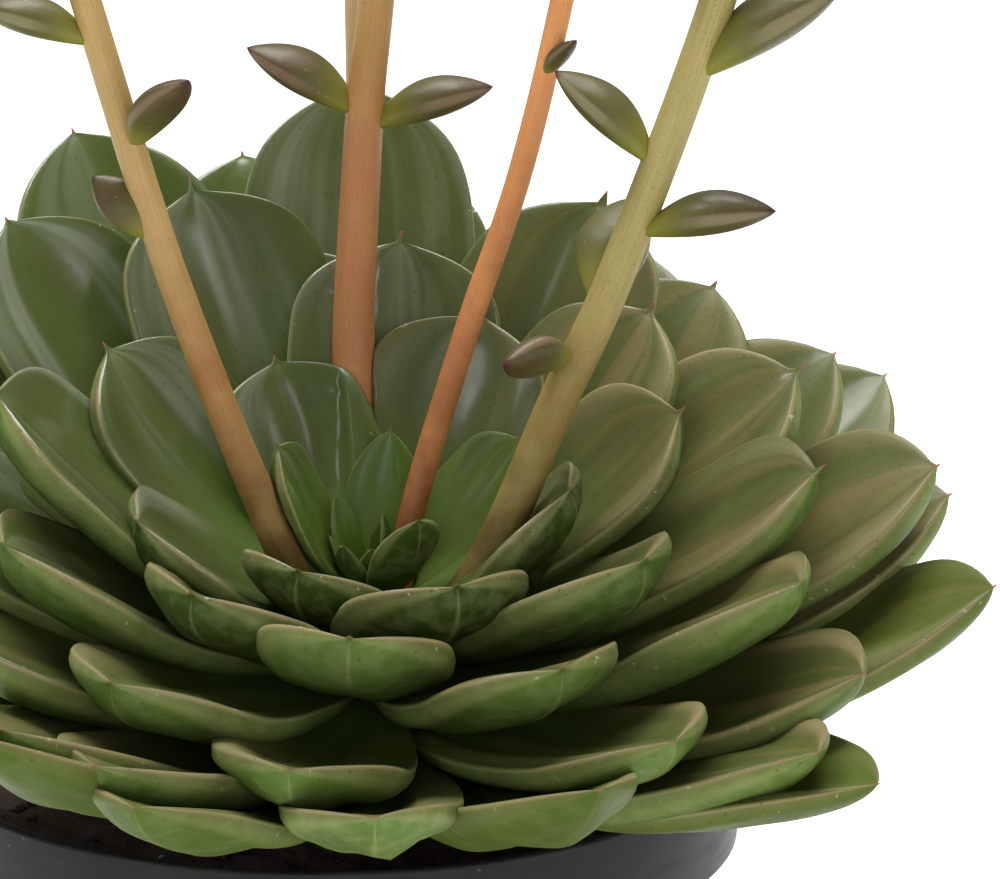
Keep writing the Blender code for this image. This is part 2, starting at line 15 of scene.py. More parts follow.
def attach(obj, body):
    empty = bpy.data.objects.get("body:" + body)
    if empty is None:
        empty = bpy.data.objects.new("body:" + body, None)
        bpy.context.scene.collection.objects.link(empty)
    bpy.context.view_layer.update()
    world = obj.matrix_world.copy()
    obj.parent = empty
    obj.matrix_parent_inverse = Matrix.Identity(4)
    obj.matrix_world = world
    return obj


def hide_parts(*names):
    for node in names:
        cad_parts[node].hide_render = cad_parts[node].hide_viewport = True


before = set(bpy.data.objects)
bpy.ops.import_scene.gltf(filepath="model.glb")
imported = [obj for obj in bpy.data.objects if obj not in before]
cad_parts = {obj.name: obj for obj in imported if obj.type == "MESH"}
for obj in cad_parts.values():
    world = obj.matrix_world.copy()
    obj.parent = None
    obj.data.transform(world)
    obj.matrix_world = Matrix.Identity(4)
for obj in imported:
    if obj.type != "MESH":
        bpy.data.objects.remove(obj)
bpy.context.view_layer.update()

bl_info = {
    "name": "Potted graptopetalum",
    "version": (1, 0, 0),
    "blender": (4, 5, 0),
    "location": "View3D > Sidebar > Graptopetalum",
    "description": "Builds the finished leaves, flower stalks, pot and soil of a potted graptopetalum",
    "category": "Add Mesh",
}

# Pot, in metres
POT_RADIUS = 0.0655
POT_HEIGHT = 0.105
RIM_BAND = 0.0162
STEP_IN = 0.0045
WALL = 0.0016
FLOOR = 0.003
BASE_RADIUS = 0.0465
FOOT_ROUND = 0.0025
BAND_DRAFT = 0.0008
BAND_FOOT_ROUND = 0.0006
DRAIN_HOLES = 8
DRAIN_RADIUS = 0.0045
DRAIN_CIRCLE = 0.0345
POT_SEGMENTS = 144
LIP_STEPS = 10
FOOT_STEPS = 8
SHARP_ANGLE = 35

# Soil
GAP = 0.0003
SOIL_TOP = POT_HEIGHT - 0.012
SOIL_LUMP = 0.0022
SOIL_SHOULDER = 0.006
EDGE_BEVEL = 0.001
EDGE_SINK = 0.002
EDGE_ROUND = 0.004
CRUMB_MARGIN = 0.0035
SOIL_SEGMENTS = 120
SOIL_RINGS = 34
SOIL_SEED = 3

# Rosette: where the leaves spread from, and how its axis leans
HEART = Vector((0.007, -0.010, 0.1258))
LEAN_FORWARD = 17.0
LEAN_RIGHT = 1.5
STEM_RADIUS = 0.0105
STEM_FOOT = -0.055
STEM_PROFILE = (
    (0.0, 0.011), (0.0030, 0.0095), (0.0065, 0.003), (0.0105, -0.004), (0.0130, -0.012), (0.0130, -0.022)
)
STEM_SEGMENTS = 40

# Leaves: leaf 0 is the youngest full leaf, and each next one is older, lower and longer
LEAF_COUNT = 62
FIRST_AZIMUTH = 85.4
DIVERGENCE = 137.78
LEAF_LENGTHS = (0.0135, 0.1108)
LENGTH_POWER = 0.44
LEAF_RISES = (87.7, 11.4)
RISE_POWER = 0.25
WIDEST_LEAF = 0.0405
HALF_WIDE_LENGTH = 0.0362
FRONT_SLIM = 0.26
SLIM_AGE = 0.6
YOUNG_WIDTH = 0.68
YOUNG_BLUNTNESS = 1.5
YOUNG_UNTIL = 0.10
BLUNTNESS = (4.0, 2.0)
BLUNT_UNTIL = 0.6
SHOULDERS_END = (0.970, 0.988)
SHOULDERS_END_AGES = (0.3, 0.6)
POINT_FULLNESS = 1.8
FULLEST = 0.66
THICKNESS_SHARE = 0.21
UPPER_SHARE = 0.28
MARGIN_FULLNESS = 0.6
CHANNEL_SHARE = 0.115
LEAF_SAG = 0.17
SAG_STEP = 0.02
TWIST_JITTER = 5.0
ROOT_HEIGHTS = (0.006, -0.019)
BUD_COUNT = 7
BUD_LENGTHS = (0.0155, 0.026)
BUD_RISES = (86.0, 70.0)
LEAF_SEED = 7

# Leaves that the photo shows a little off the rule: turn in degrees, stretch in percent, lift in degrees
NUDGES = {
    -6: (-6, 11, -15), -4: (-6, -3, -6), -3: (1, 5, -7), -2: (0, -6, 12), -1: (15, -11, -5),
    0: (-4, 6, -1), 1: (-4, -13, 10), 2: (2, -9, 13), 3: (-4, -10, -2), 4: (-4, 0, -3), 5: (1, -5, -5),
    6: (-4, -3, 4), 7: (6, -3, -4), 8: (3, -2, 0), 9: (2, 0, 1), 10: (3, 3, -2), 12: (6, -1, -1),
    13: (-8, 3, 2), 14: (3, 1, 1), 15: (4, 10, 4), 17: (4, 0, 2), 18: (-7, 11, 5), 19: (6, 8, -2),
    21: (-13, 10, 3), 22: (1, 0, 0), 23: (0, 0, -4), 25: (-2, 1, -2), 26: (0, -8, -3), 27: (4, 2, 1),
    29: (-4, -1, -3), 30: (-10, 1, -3), 31: (7, 2, 7), 32: (2, 7, -1), 34: (12, 11, 7), 35: (-1, 0, -1),
    37: (1, -5, -2), 38: (-6, 1, -1), 39: (0, -8, -3), 40: (-7, -3, -2), 42: (2, -4, -5), 43: (-10, 0, 1),
    45: (-2, -6, -2), 46: (7, -3, 3), 48: (1, 0, 1), 50: (-3, -3, -7), 51: (-9, -3, 3), 52: (-1, 4, 5),
    53: (0, -2, 3), 55: (0, -10, -3), 56: (0, -1, 8), 58: (0, -20, -5), 59: (0, 0, 9), 60: (4, 0, 0),
    61: (-5, -3, 2),
}

# Room for the leaves over the pot: how far from its axis, and how far above its rim or the soil
RIM_ZONE = (0.056, 0.071)
STEM_ZONE = 0.025
RIM_ROOM = 0.0008
SOIL_ROOM = 0.003

# Shares of the length where a leaf is held clear of the pot, tip first
OLD_LEAF_RINGS = (1.0, 0.975, 0.94, 0.87, 0.70, 0.40, 0.0)
BUD_LEAF_RINGS = (1.0, 0.95, 0.78, 0.45, 0.0)
SPAN_CHECKS = 12

# A leaf's finished skin
LEAF_SIDES = 36
LEAF_STEPS = 44
TIP_CROWDING = 1.5
INNER_LEAVES = 20
GROOVE_DEPTH = 0.00022
GROOVE_PLACE = 0.91
GROOVE_WIDTH = 0.05
KEEL_DEPTH = 0.06
KEEL_WIDTH = 0.3
RIPPLE = 0.0008
FOLD_DEPTHS = (0.0011, 0.0024)
# Share of a leaf's flush kept in its fold furrows and on its ridges: painted shade in the furrows, painted
# highlight on the ridges
FURROW_SHADE_RIDGE_LIGHT = (0.35, 1.0)
EDGE_WOBBLE = 0.035
STALK_ROOM = 0.0003
AXIS_STEPS = 120
FLUSH_SIDE = Vector((0.80, -0.60))

# Flower stalks: base first, points of the route in millimetres, then the radius at base and top
# A stalk's dark foot colour is partly its own brown and partly painted shade from the leaves over it
STALKS = {
    "flower_stalk_1": {
        "slot": "stalk_left",
        "route": (
            (1, -15, 126), (-5, -20, 138), (-11, -21, 153), (-16, -21, 166), (-24.4, -20, 190),
            (-35.3, -17, 227), (-46, -13, 264), (-50, -10, 302),
        ),
        "radii": (0.0028, 0.0022),
        "foot": (0.062, 0.042, 0.008),
        "middle": (0.34, 0.165, 0.050),
        "top": (0.45, 0.305, 0.110),
        "bands": (0.138, 0.168, 0.200),
        "specks": 0.2,
    },
    "flower_stalk_2": {
        "slot": "stalk_middle",
        "route": (
            (6, -3, 128), (5, 9.5, 147), (4, 16.5, 163), (4.5, 18, 178), (6, 18.5, 202), (8, 18, 221),
            (13, 18, 275), (19, 18, 335),
        ),
        "radii": (0.0037, 0.0025),
        "foot": (0.26, 0.110, 0.030),
        "middle": (0.50, 0.205, 0.085),
        "top": (0.42, 0.260, 0.075),
        "bands": (0.145, 0.185, 0.222),
        "specks": 0.3,
    },
    "flower_stalk_3": {
        "slot": "stalk_back",
        "route": (
            (2, 6, 124), (1, 18, 144), (3, 26, 164), (4.8, 31, 184), (4.6, 32, 206), (4.4, 33, 221),
            (5, 36, 240), (4, 41, 262), (0, 52, 305),
        ),
        "radii": (0.0022, 0.0017),
        "foot": (0.30, 0.14, 0.06),
        "middle": (0.55, 0.36, 0.170),
        "top": (0.60, 0.43, 0.225),
        "bands": (0.150, 0.185, 0.225),
        "specks": 0.1,
    },
    "flower_stalk_4": {
        "slot": "stalk_slim",
        "route": (
            (11, -13, 130), (14, -9, 146), (22, -5, 172), (30, -3, 196), (36, -2, 221), (43, 0, 256),
            (46, 3, 292),
        ),
        "radii": (0.0021, 0.0017),
        "foot": (0.200, 0.065, 0.018),
        "middle": (0.52, 0.205, 0.068),
        "top": (0.76, 0.335, 0.115),
        "bands": (0.142, 0.184, 0.218),
        "specks": 0.15,
    },
    "flower_stalk_5": {
        "slot": "stalk_right",
        "route": (
            (11, -15, 124), (18, -21, 130), (26, -26, 143), (36, -26, 167), (45, -24, 187),
            (60, -19, 228), (72, -15, 272), (78, -12, 320),
        ),
        "radii": (0.0033, 0.0026),
        "foot": (0.085, 0.055, 0.012),
        "middle": (0.24, 0.172, 0.045),
        "top": (0.38, 0.320, 0.112),
        "bands": (0.140, 0.168, 0.196),
        "specks": 0.35,
    },
}
TUBE_SIDES = 28
TUBE_STEPS = 150
TUBE_RELIEF = 0.03
CAP_STEPS = 4
CAP_HEIGHT = 0.6
GRAIN_LENGTH = 0.03
LENGTH_STEPS = 20

# Bracts on a stalk: height in millimetres, azimuth, length, slope above the horizontal, roll, how purple
BRACTS = {
    "flower_stalk_1": (
        (190, 168, 0.0145, 43, 55, 0.75), (204, -45, 0.0185, 46, 0, 0.8), (220, 170, 0.0200, 16, 0, 0.3),
        (247, 40, 0.0160, 35, 0, 0.6),
    ),
    "flower_stalk_2": (
        (200, 172, 0.0215, 30, 8, 0.9), (198, 5, 0.0215, 18, 0, 0.7), (234, 80, 0.0180, 40, 0, 0.6),
        (250, 215, 0.0160, 35, 0, 0.6),
    ),
    "flower_stalk_3": ((228, 140, 0.0120, 40, 0, 0.7), (246, 60, 0.0110, 40, 0, 0.7)),
    "flower_stalk_4": (
        (211, -35, 0.0095, 50, 0, 0.9), (224, 150, 0.0120, 55, 0, 0.7), (240, 20, 0.0120, 45, 0, 0.7),
    ),
    "flower_stalk_5": (
        (173, 228, 0.0168, 10, -50, 0.8), (180, 76, 0.0230, 36, 0, 0.15), (192, -8, 0.0225, 12, 0, 0.6),
        (202, 165, 0.0215, 42, 0, 0.35), (215, 6, 0.0275, 32, 0, 0.4), (229, 215, 0.0160, 25, 0, 0.8),
        (246, 80, 0.0170, 40, 0, 0.6),
    ),
}
BRACT_WIDTH_SHARE = 0.50
BRACT_THICKNESS_SHARE = 0.29
ARCH_SHARE = 0.07
BRACT_SIDES = 24
BRACT_STEPS = 28

# Flower heads at the top of a stalk
FLOWERS_PER_STALK = 6
HEAD_START = 0.82
HEAD_TURN = 66
GOLDEN_ANGLE = 137.5
BRANCH_LENGTHS = (0.024, 0.010)
BRANCH_SLOPES = (25, 65)
BRANCH_RADIUS = 0.0011
BRANCH_TAPER = 0.2
BRANCH_SIDES = 10
BRANCH_STEPS = 10
OPEN_EVERY = 3
PETALS = 5
STAMENS = 10
STAMEN_LENGTH = 0.0040
FILAMENT_WIDTH = 0.00055
ANTHER_RADIUS = 0.00048

# Length, width and thickness of a flower's parts
FLOWER_BUD_SIZE = (0.0085, 0.0052, 0.0052)
PETAL_SIZE = (0.0078, 0.0040, 0.0010)
SEPAL_SIZE = (0.0040, 0.0018, 0.0011)
CARPEL_SIZE = (0.0036, 0.0013, 0.0013)

# The materials of a stalk, in the order of its slots
STALK_SKIN, BRACT_SKIN, PETAL_SKIN, ANTHER_SKIN = range(4)

# The numbers that each point carries for its material: where it is on its form, and what the form is like
PLACE_LAYERS = ("form_place", "form_kind")

# Camera of the photograph, and the floor
CAMERA_PLACE = (0.0271, -1.0517, 0.4645)
CAMERA_TILT = 73.5
CAMERA_LENS = 253.08
FLOOR_SIZE = 6.0


# Colours and sizes that a user would change


def colour_property(name, description, default):
    return bpy.props.FloatVectorProperty(
        name=name, description=description, default=default, size=3, min=0.0, max=1.0, subtype="COLOR"
    )


def power_property(name, description, default):
    return bpy.props.FloatProperty(
        name=name, description=description, default=default, min=0.0, subtype="POWER", unit="POWER"
    )


class LeafSettings(bpy.types.PropertyGroup):
    upper: colour_property("Upper face", "Colour of a grown leaf's upper face", (0.050, 0.069, 0.015))
    fresh: colour_property("Fresh green", "Colour near a leaf's root and in the bud", (0.085, 0.145, 0.018))
    under: colour_property("Underside", "Colour of a leaf's underside", (0.092, 0.156, 0.028))
    old: colour_property("Lowest leaves", "Yellow green of the lowest leaves", (0.058, 0.088, 0.007))
    flush: colour_property("Flush", "Brown of the sunned upper faces", (0.142, 0.114, 0.042))
    margin: colour_property("Margin", "Colour of the ridge along a leaf's sides", (0.26, 0.28, 0.10))
    # Pale grey green of the back leaves' patches: partly their waxy bloom, partly a painted reflection of
    # the soft lights
    bloom_and_sheen: colour_property("Bloom", "Grey green of the waxy patches of the back leaves", (0.27, 0.30, 0.235))
    blush: colour_property("Blush", "Pink tan of the margin near the tip", (0.28, 0.20, 0.10))
    point: colour_property("Point", "Red of the small point at the tip", (0.30, 0.085, 0.06))


class StalkSettings(bpy.types.PropertyGroup):
    bract_green: colour_property("Bract green", "Colour of a bract's foot", (0.21, 0.20, 0.030))
    bract_grey: colour_property("Bract grey green", "Colour of a bract's middle", (0.095, 0.095, 0.026))
    bract_purple: colour_property("Bract purple", "Colour of a bract's sunned skin", (0.062, 0.028, 0.017))
    petal: colour_property("Petals", "Colour of the petals", (0.80, 0.62, 0.26))
    petal_mark: colour_property("Petal marks", "Colour of the dots on the petals", (0.45, 0.05, 0.03))


class PotSettings(bpy.types.PropertyGroup):
    plastic: colour_property("Plastic", "Colour of the pot", (0.0075, 0.0070, 0.0072))
    roughness: bpy.props.FloatProperty(
        name="Roughness", description="Roughness of the pot's satin skin", default=0.42, min=0.0, max=1.0
    )


class SoilSettings(bpy.types.PropertyGroup):
    dark: colour_property("Moist peat", "Darkest colour of the soil", (0.012, 0.007, 0.005))
    light: colour_property("Dry crumbs", "Lightest colour of the soil", (0.13, 0.060, 0.028))
    crumbs: bpy.props.IntProperty(
        name="Crumbs", description="Number of loose crumbs on the soil", default=520, min=0, max=3000
    )
    crumb_size: bpy.props.FloatProperty(
        name="Crumb size", description="Radius of a large crumb", default=0.0017, min=0.0002, max=0.01,
        subtype="DISTANCE", unit="LENGTH",
    )


class StageSettings(bpy.types.PropertyGroup):
    floor: colour_property("Floor", "Colour of the plain floor", (0.90, 0.90, 0.90))
    top_light: power_property("Top light", "Power of the soft light overhead", 50.0)
    front_light: power_property("Front light", "Power of the soft light over the camera", 9.0)
    side_light: power_property("Side lights", "Power of each upright soft light", 6.0)
    sky: bpy.props.FloatProperty(
        name="Surrounding light", description="Strength of the light from all round", default=0.22, min=0.0
    )


# Mesh helpers


def new_part():
    """A bmesh for one small form, with the numbers that the materials read."""
    bm = bmesh.new()
    for layer in PLACE_LAYERS:
        bm.verts.layers.float_vector.new(layer)
    return bm


def add_object(name, data):
    """Puts a mesh, light or camera into the scene as an object."""
    added = bpy.data.objects.new(name, data)
    bpy.context.scene.collection.objects.link(added)
    return added


def new_object(bm, name, materials=()):
    """Makes an object of a form."""
    mesh = bpy.data.meshes.new(name)
    bm.to_mesh(mesh)
    bm.free()
    for material in materials:
        mesh.materials.append(material)
    return add_object(name, mesh)


def join_parts(parts, name, materials):
    """Makes one object of closed forms, their faces pointing outwards."""
    for part in parts:
        if part.calc_volume(signed=True) < 0:
            bmesh.ops.reverse_faces(part, faces=part.faces)
    objects = [new_object(part, name, materials) for part in parts]
    with bpy.context.temp_override(active_object=objects[0], selected_editable_objects=objects):
        bpy.ops.object.join()
    return objects[0]


def finish_piece(piece, nodes):
    """Smooths a piece, lets it ride on the body and stand for its CAD nodes."""
    piece.data.shade_smooth()
    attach(piece, "root")
    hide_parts(*nodes)


def ring_of(vertex, steps):
    """Which ring of a new sphere a vertex is on, counted from its top pole."""
    return round(math.acos(max(-1.0, min(1.0, vertex.co.z))) / math.pi * steps)


def new_ball(sides, steps, skin=0):
    """A sphere whose rings are then moved into a long closed form, and its vertices with ring and angle."""
    bm = new_part()
    bmesh.ops.create_uvsphere(bm, u_segments=sides, v_segments=steps, radius=1.0)
    for face in bm.faces:
        face.material_index = skin
    angles = [math.atan2(vertex.co.y, vertex.co.x) for vertex in bm.verts]
    return bm, [(vertex, ring_of(vertex, steps), angle) for vertex, angle in zip(bm.verts, angles)]


def mark(bm, vertex, place, kind):
    """Notes on a vertex where it is on its form and what the form is like, for the material."""
    for layer, value in zip(PLACE_LAYERS, (place, kind)):
        vertex[bm.verts.layers.float_vector[layer]] = value


def spin_profile(bm, profile, segments):
    """Turns (radius, height) points that start and end on Z into a closed form."""
    verts = [bm.verts.new((radius, 0.0, height)) for radius, height in profile]
    edges = [bm.edges.new(pair) for pair in zip(verts, verts[1:])]
    axis = {"cent": (0, 0, 0), "axis": (0, 0, 1)}
    bmesh.ops.spin(bm, geom=verts + edges, angle=2 * math.pi, steps=segments, use_merge=True, **axis)
    bmesh.ops.remove_doubles(bm, verts=bm.verts, dist=0.00001)
    bmesh.ops.recalc_face_normals(bm, faces=bm.faces)


def arc(centre, radius, start, end, steps):
    """Points of a rounded corner, angles in degrees."""
    points = []
    for step in range(steps + 1):
        angle = math.radians(start + (end - start) * step / steps)
        points.append((centre[0] + radius * math.cos(angle), centre[1] + radius * math.sin(angle)))
    return points


def between(ends, share):
    return ends[0] + (ends[1] - ends[0]) * share


def ramp(value, low, high):
    """A smooth step from 0 at low to 1 at high."""
    share = max(0.0, min(1.0, (value - low) / (high - low)))
    return share * share * (3.0 - 2.0 * share)


# Leaves, by the rule of the CAD


def rosette_matrix():
    """From the rosette's own frame, with its axis on +Z, to the world."""
    forward = Matrix.Rotation(math.radians(LEAN_FORWARD), 4, "X")
    right = Matrix.Rotation(math.radians(LEAN_RIGHT), 4, "Y")
    return Matrix.Translation(HEART) @ forward @ right


def outline(share, bluntness, shoulders_end):
    """Half width of a leaf along its length: shoulders, the blunter the broader, then a drawn-out point."""
    if share < FULLEST:
        return 0.25 + 0.75 * math.sin(0.5 * math.pi * share / FULLEST) ** 1.2
    fall = min((share - FULLEST) / (shoulders_end - FULLEST), 1.0)
    shoulder = (1.0 - fall ** bluntness) ** 0.75
    point = POINT_FULLNESS * (1.0 - share) * ramp(share, 0.80, 0.94)
    return (shoulder ** 2 + point ** 2) ** 0.5


def depth_shape(share, bluntness, shoulders_end):
    """Thickness of a leaf along its length."""
    if share < FULLEST:
        return 0.62 + 0.38 * math.sin(0.5 * math.pi * share / FULLEST)
    return outline(share, bluntness, shoulders_end) ** 0.8


def leaf_width(length):
    """Width of a leaf whose tip is this far from the heart: slim in the bud, soon nearly full."""
    return WIDEST_LEAF / (1.0 + (HALF_WIDE_LENGTH / length) ** 2.6)


class Leaf:
    """One leaf in the rosette's frame: a curved spoon from its root on the stem to its tip."""

    def __init__(self, number, jitter):
        turn, stretch, lift = NUDGES.get(number, (0, 0, 0))
        self.number = number
        self.age = max((number + 1) / LEAF_COUNT, 0.0)
        if number >= 0:
            length = between(LEAF_LENGTHS, self.age ** LENGTH_POWER)
            rise = between(LEAF_RISES, self.age ** RISE_POWER)
            self.rings = OLD_LEAF_RINGS
        else:
            youth = 1 + number / BUD_COUNT
            length = between(BUD_LENGTHS, youth)
            rise = between(BUD_RISES, youth)
            self.rings = BUD_LEAF_RINGS
        length *= 1.0 + 0.01 * stretch
        rise += lift
        azimuth = FIRST_AZIMUTH - DIVERGENCE * number + turn
        self.set_form(length, azimuth)
        self.root = Vector((0.0, 0.0, between(ROOT_HEIGHTS, self.age)))
        self.tip = length * Vector((math.cos(math.radians(rise)), 0.0, math.sin(math.radians(rise))))
        self.turn = rosette_matrix() @ Matrix.Rotation(math.radians(azimuth), 4, "Z")
        self.twist = math.radians(jitter.uniform(-TWIST_JITTER, TWIST_JITTER))
        self.set_sag(LEAF_SAG)
        while not self.clears_pot():
            self.set_sag(self.sag - SAG_STEP)

    def set_form(self, length, azimuth):
        """Width and bluntness: slim and pointed in the heart, and slimmer again towards the open front."""
        grown = ramp(self.age, 0.0, YOUNG_UNTIL)
        front = max(0.0, -math.sin(math.radians(azimuth))) * min(1.0, self.age / SLIM_AGE)
        self.width = leaf_width(length) * between((YOUNG_WIDTH, 1.0), grown) * (1.0 - FRONT_SLIM * front)
        back = max(0.0, math.sin(math.radians(azimuth)))
        blunt = between(BLUNTNESS, max(self.age - BLUNT_UNTIL, 0.0) / (1 - BLUNT_UNTIL) * (1.0 - back))
        self.bluntness = between((YOUNG_BLUNTNESS, blunt), grown)
        self.shoulders_end = between(SHOULDERS_END, ramp(self.age, *SHOULDERS_END_AGES))

    def set_sag(self, sag):
        """Bends the leaf: it hangs below the line from root to tip, or arches over it below zero."""
        chord = self.tip - self.root
        self.sag = sag
        self.knee = self.root + 0.5 * chord + sag * Vector((chord.z, 0.0, -chord.x))

    def place(self, share, across, up):
        """The world place of a point at a share of the length, so far across and above the middle."""
        rest = 1.0 - share
        centre = rest * rest * self.root + 2 * rest * share * self.knee + share * share * self.tip
        along = (rest * (self.knee - self.root) + share * (self.tip - self.knee)).normalized()
        normal = Vector((-along.z, 0.0, along.x))
        roll = Matrix.Rotation(self.twist * share, 3, along)
        return self.turn @ (centre + roll @ (across * Vector((0.0, 1.0, 0.0)) + up * normal))

    def section(self, share, facing):
        """Half the leaf's width there, its thickness, and how far its skin bulges from its middle."""
        half_width = 0.5 * self.width * outline(share, self.bluntness, self.shoulders_end)
        thickness = THICKNESS_SHARE * self.width * depth_shape(share, self.bluntness, self.shoulders_end)
        bulge = UPPER_SHARE if facing > 0 else UPPER_SHARE - 1.0
        return half_width, thickness, bulge * thickness * abs(facing) ** MARGIN_FULLNESS

    def plain_skin(self, share, angle):
        """A point of the CAD leaf's skin."""
        across, facing = math.cos(angle), math.sin(angle)
        half_width, _, bulge = self.section(share, facing)
        channel = 2 * CHANNEL_SHARE * half_width * abs(across) ** 1.6
        return self.place(share, half_width * across, channel + bulge)

    def clears_pot(self):
        """Whether the leaf's underside, as its rings join it up, stays above the pot's rim and the soil."""
        for angle in (-0.25 * math.pi, -0.5 * math.pi, -0.75 * math.pi, 0.0, math.pi):
            skin = [self.plain_skin(share, angle) for share in self.rings]
            for start, end in zip(skin, skin[1:]):
                for step in range(SPAN_CHECKS):
                    point = start.lerp(end, step / SPAN_CHECKS)
                    if point.z < lowest_height(math.hypot(point.x, point.y)):
                        return False
        return True

    def add_looks(self, looks):
        """Draws the small unevenness that makes no two leaves alike."""
        self.seed = looks.random()
        self.phase = looks.uniform(0.0, 2 * math.pi)
        self.waves = looks.uniform(1.6, 2.8)
        reach = (self.turn @ self.tip) - (self.turn @ self.root)
        side = Vector((reach.x, reach.y))
        toward = side.normalized().dot(FLUSH_SIDE.normalized()) if side.length > 0 else 0.0
        self.flush = max(0.0, min(1.0, 0.55 + 0.85 * toward)) * ramp(self.age, 0.02, 0.25)

    def skin(self, share, angle):
        """A point of the finished skin: its groove inside the margin, its keel below and its soft folds."""
        across, facing = math.cos(angle), math.sin(angle)
        half_width, thickness, bulge = self.section(share, facing)
        size = min(1.0, self.width / WIDEST_LEAF)
        height = 2 * CHANNEL_SHARE * half_width * ((across ** 2 + 0.02) ** 0.8 - 0.04) + bulge
        if facing > 0:
            inside = (abs(across) - GROOVE_PLACE) / GROOVE_WIDTH
            height -= GROOVE_DEPTH * size * math.exp(-inside * inside) * ramp(share, 0.99, 0.85)
        else:
            keel = KEEL_DEPTH * thickness * math.exp(-(across / KEEL_WIDTH) ** 2)
            height -= keel * ramp(share, 0.55, 0.95)
        wave = math.sin(self.waves * math.pi * share + self.phase)
        out = ramp(share, 0.15, 0.5) * ramp(share, 0.99, 0.72)
        fold = between(FOLD_DEPTHS, self.flush) * self.fold(share, across)
        height += size * out * (fold + RIPPLE * across * wave)
        edge = noise.noise(Vector((2.2 * share, 3.0 * across, 90.0 * self.seed)))
        half_width *= 1.0 + EDGE_WOBBLE * edge * abs(across)
        return self.place(share, half_width * across, height)

    def fold(self, share, across):
        """The soft lengthwise folds, from about -0.5 in a furrow to 0.5 on a ridge."""
        return noise.noise(Vector((2.6 * across, 1.2 * share, 40.0 * self.seed)))


def lowest_height(radius):
    """How low a leaf may reach, so far from the pot's axis."""
    if radius > RIM_ZONE[1] or radius < STEM_ZONE:
        return 0.0
    return POT_HEIGHT + RIM_ROOM if radius > RIM_ZONE[0] else SOIL_TOP + SOIL_ROOM


def finished_leaf(leaf):
    """One finished leaf, marked for its material."""
    bm, moved = new_ball(LEAF_SIDES, LEAF_STEPS)
    for vertex, ring, angle in moved:
        share = 1.0 - (ring / LEAF_STEPS) ** TIP_CROWDING
        off_pole = 0.0 if ring in (0, LEAF_STEPS) else 1.0
        vertex.co = leaf.skin(share, angle)
        place = (share, off_pole * math.cos(angle), off_pole * math.sin(angle))
        # The flush is painted weaker in the fold furrows and stronger on the ridges, as painted shade and
        # highlight of the folds
        ridge = ramp(leaf.fold(share, math.cos(angle)), -0.3, 0.35)
        mark(bm, vertex, place, (leaf.age, leaf.seed, leaf.flush * between(FURROW_SHADE_RIDGE_LIGHT, ridge)))
    return bm


def rosette_stem():
    """The rosette's short stem below the leaves."""
    bm = new_part()
    shoulder = STEM_PROFILE[-1][1] - 0.004
    profile = list(STEM_PROFILE) + [(STEM_RADIUS, shoulder), (STEM_RADIUS, STEM_FOOT), (0.0, STEM_FOOT)]
    spin_profile(bm, profile, STEM_SEGMENTS)
    bmesh.ops.transform(bm, matrix=rosette_matrix(), verts=bm.verts)
    return bm


def other_sides(bm):
    """For each vertex of a leaf, the one at the same spot on the leaf's other side."""
    layer = bm.verts.layers.float_vector[PLACE_LAYERS[0]]
    spots = {}
    for vertex in bm.verts:
        share, across, _ = vertex[layer]
        spots.setdefault((round(share, 4), round(across, 3)), []).append(vertex.index)
    others = np.arange(len(bm.verts))
    for pair in spots.values():
        others[pair] = pair[::-1]
    return others


def push_off_stalks(bm):
    """Dents a leaf, both its sides alike, where it would touch a flower stalk."""
    bm.verts.ensure_lookup_table()
    bm.verts.index_update()
    places = np.array([vertex.co for vertex in bm.verts])
    others = other_sides(bm)
    shares = [step / AXIS_STEPS for step in range(AXIS_STEPS // 2)]
    for name in STALKS:
        axis = np.array([route_point(name, share) for share in shares])
        radii = np.array([stalk_radius(name, share) for share in shares])
        gaps = places[:, None, :] - axis[None, :, :]
        distances = np.linalg.norm(gaps, axis=2)
        nearest = distances.argmin(1)
        rows = np.arange(len(places))
        reach, gap = distances[rows, nearest], gaps[rows, nearest]
        room = radii[nearest] * (1 + TUBE_RELIEF) + STALK_ROOM
        inside = (reach < room) & (nearest > 0)
        if not inside.any():
            continue
        side = gap[reach < 3.0 * room].mean(0)
        side /= np.linalg.norm(side)
        toward = gap[inside] @ side
        squared = toward ** 2 + room[inside] ** 2 - reach[inside] ** 2
        slides = np.zeros(len(places))
        slides[inside] = np.sqrt(np.maximum(squared, 0.0)) - toward
        places += np.maximum(slides, slides[others])[:, None] * side
    for vertex, place in zip(bm.verts, places):
        vertex.co = place


# Stalks, by the rule of the CAD


def stalk_radius(name, share):
    return between(STALKS[name]["radii"], share)


def route_point(name, share):
    """A point on the smooth line through the route, a Catmull-Rom curve, in metres."""
    route = [Vector(point) * 0.001 for point in STALKS[name]["route"]]
    route = [2 * route[0] - route[1]] + route + [2 * route[-1] - route[-2]]
    spans = len(route) - 3
    span = min(int(share * spans), spans - 1)
    t = share * spans - span
    a, b, c, d = route[span:span + 4]
    bend = (2 * a - 5 * b + 4 * c - d) * t ** 2 + (3 * b - a - 3 * c + d) * t ** 3
    return b + 0.5 * ((c - a) * t + bend)


def share_at_height(name, height):
    """How far along the stalk it reaches a height, found by halving."""
    low, high = 0.0, 1.0
    for _ in range(20):
        middle = 0.5 * (low + high)
        if route_point(name, middle).z < height:
            low = middle
        else:
            high = middle
    return low


def heading(azimuth, slope):
    """A direction from its compass angle and its slope above the horizontal, in degrees."""
    turn, tilt = math.radians(azimuth), math.radians(slope)
    return Vector((math.cos(tilt) * math.cos(turn), math.cos(tilt) * math.sin(turn), math.sin(tilt)))


def frame_of(side, upper, direction, origin):
    """A matrix with these X, Y and Z axes at the origin."""
    return Matrix.Translation(origin) @ Matrix((side, upper, direction)).transposed().to_4x4()


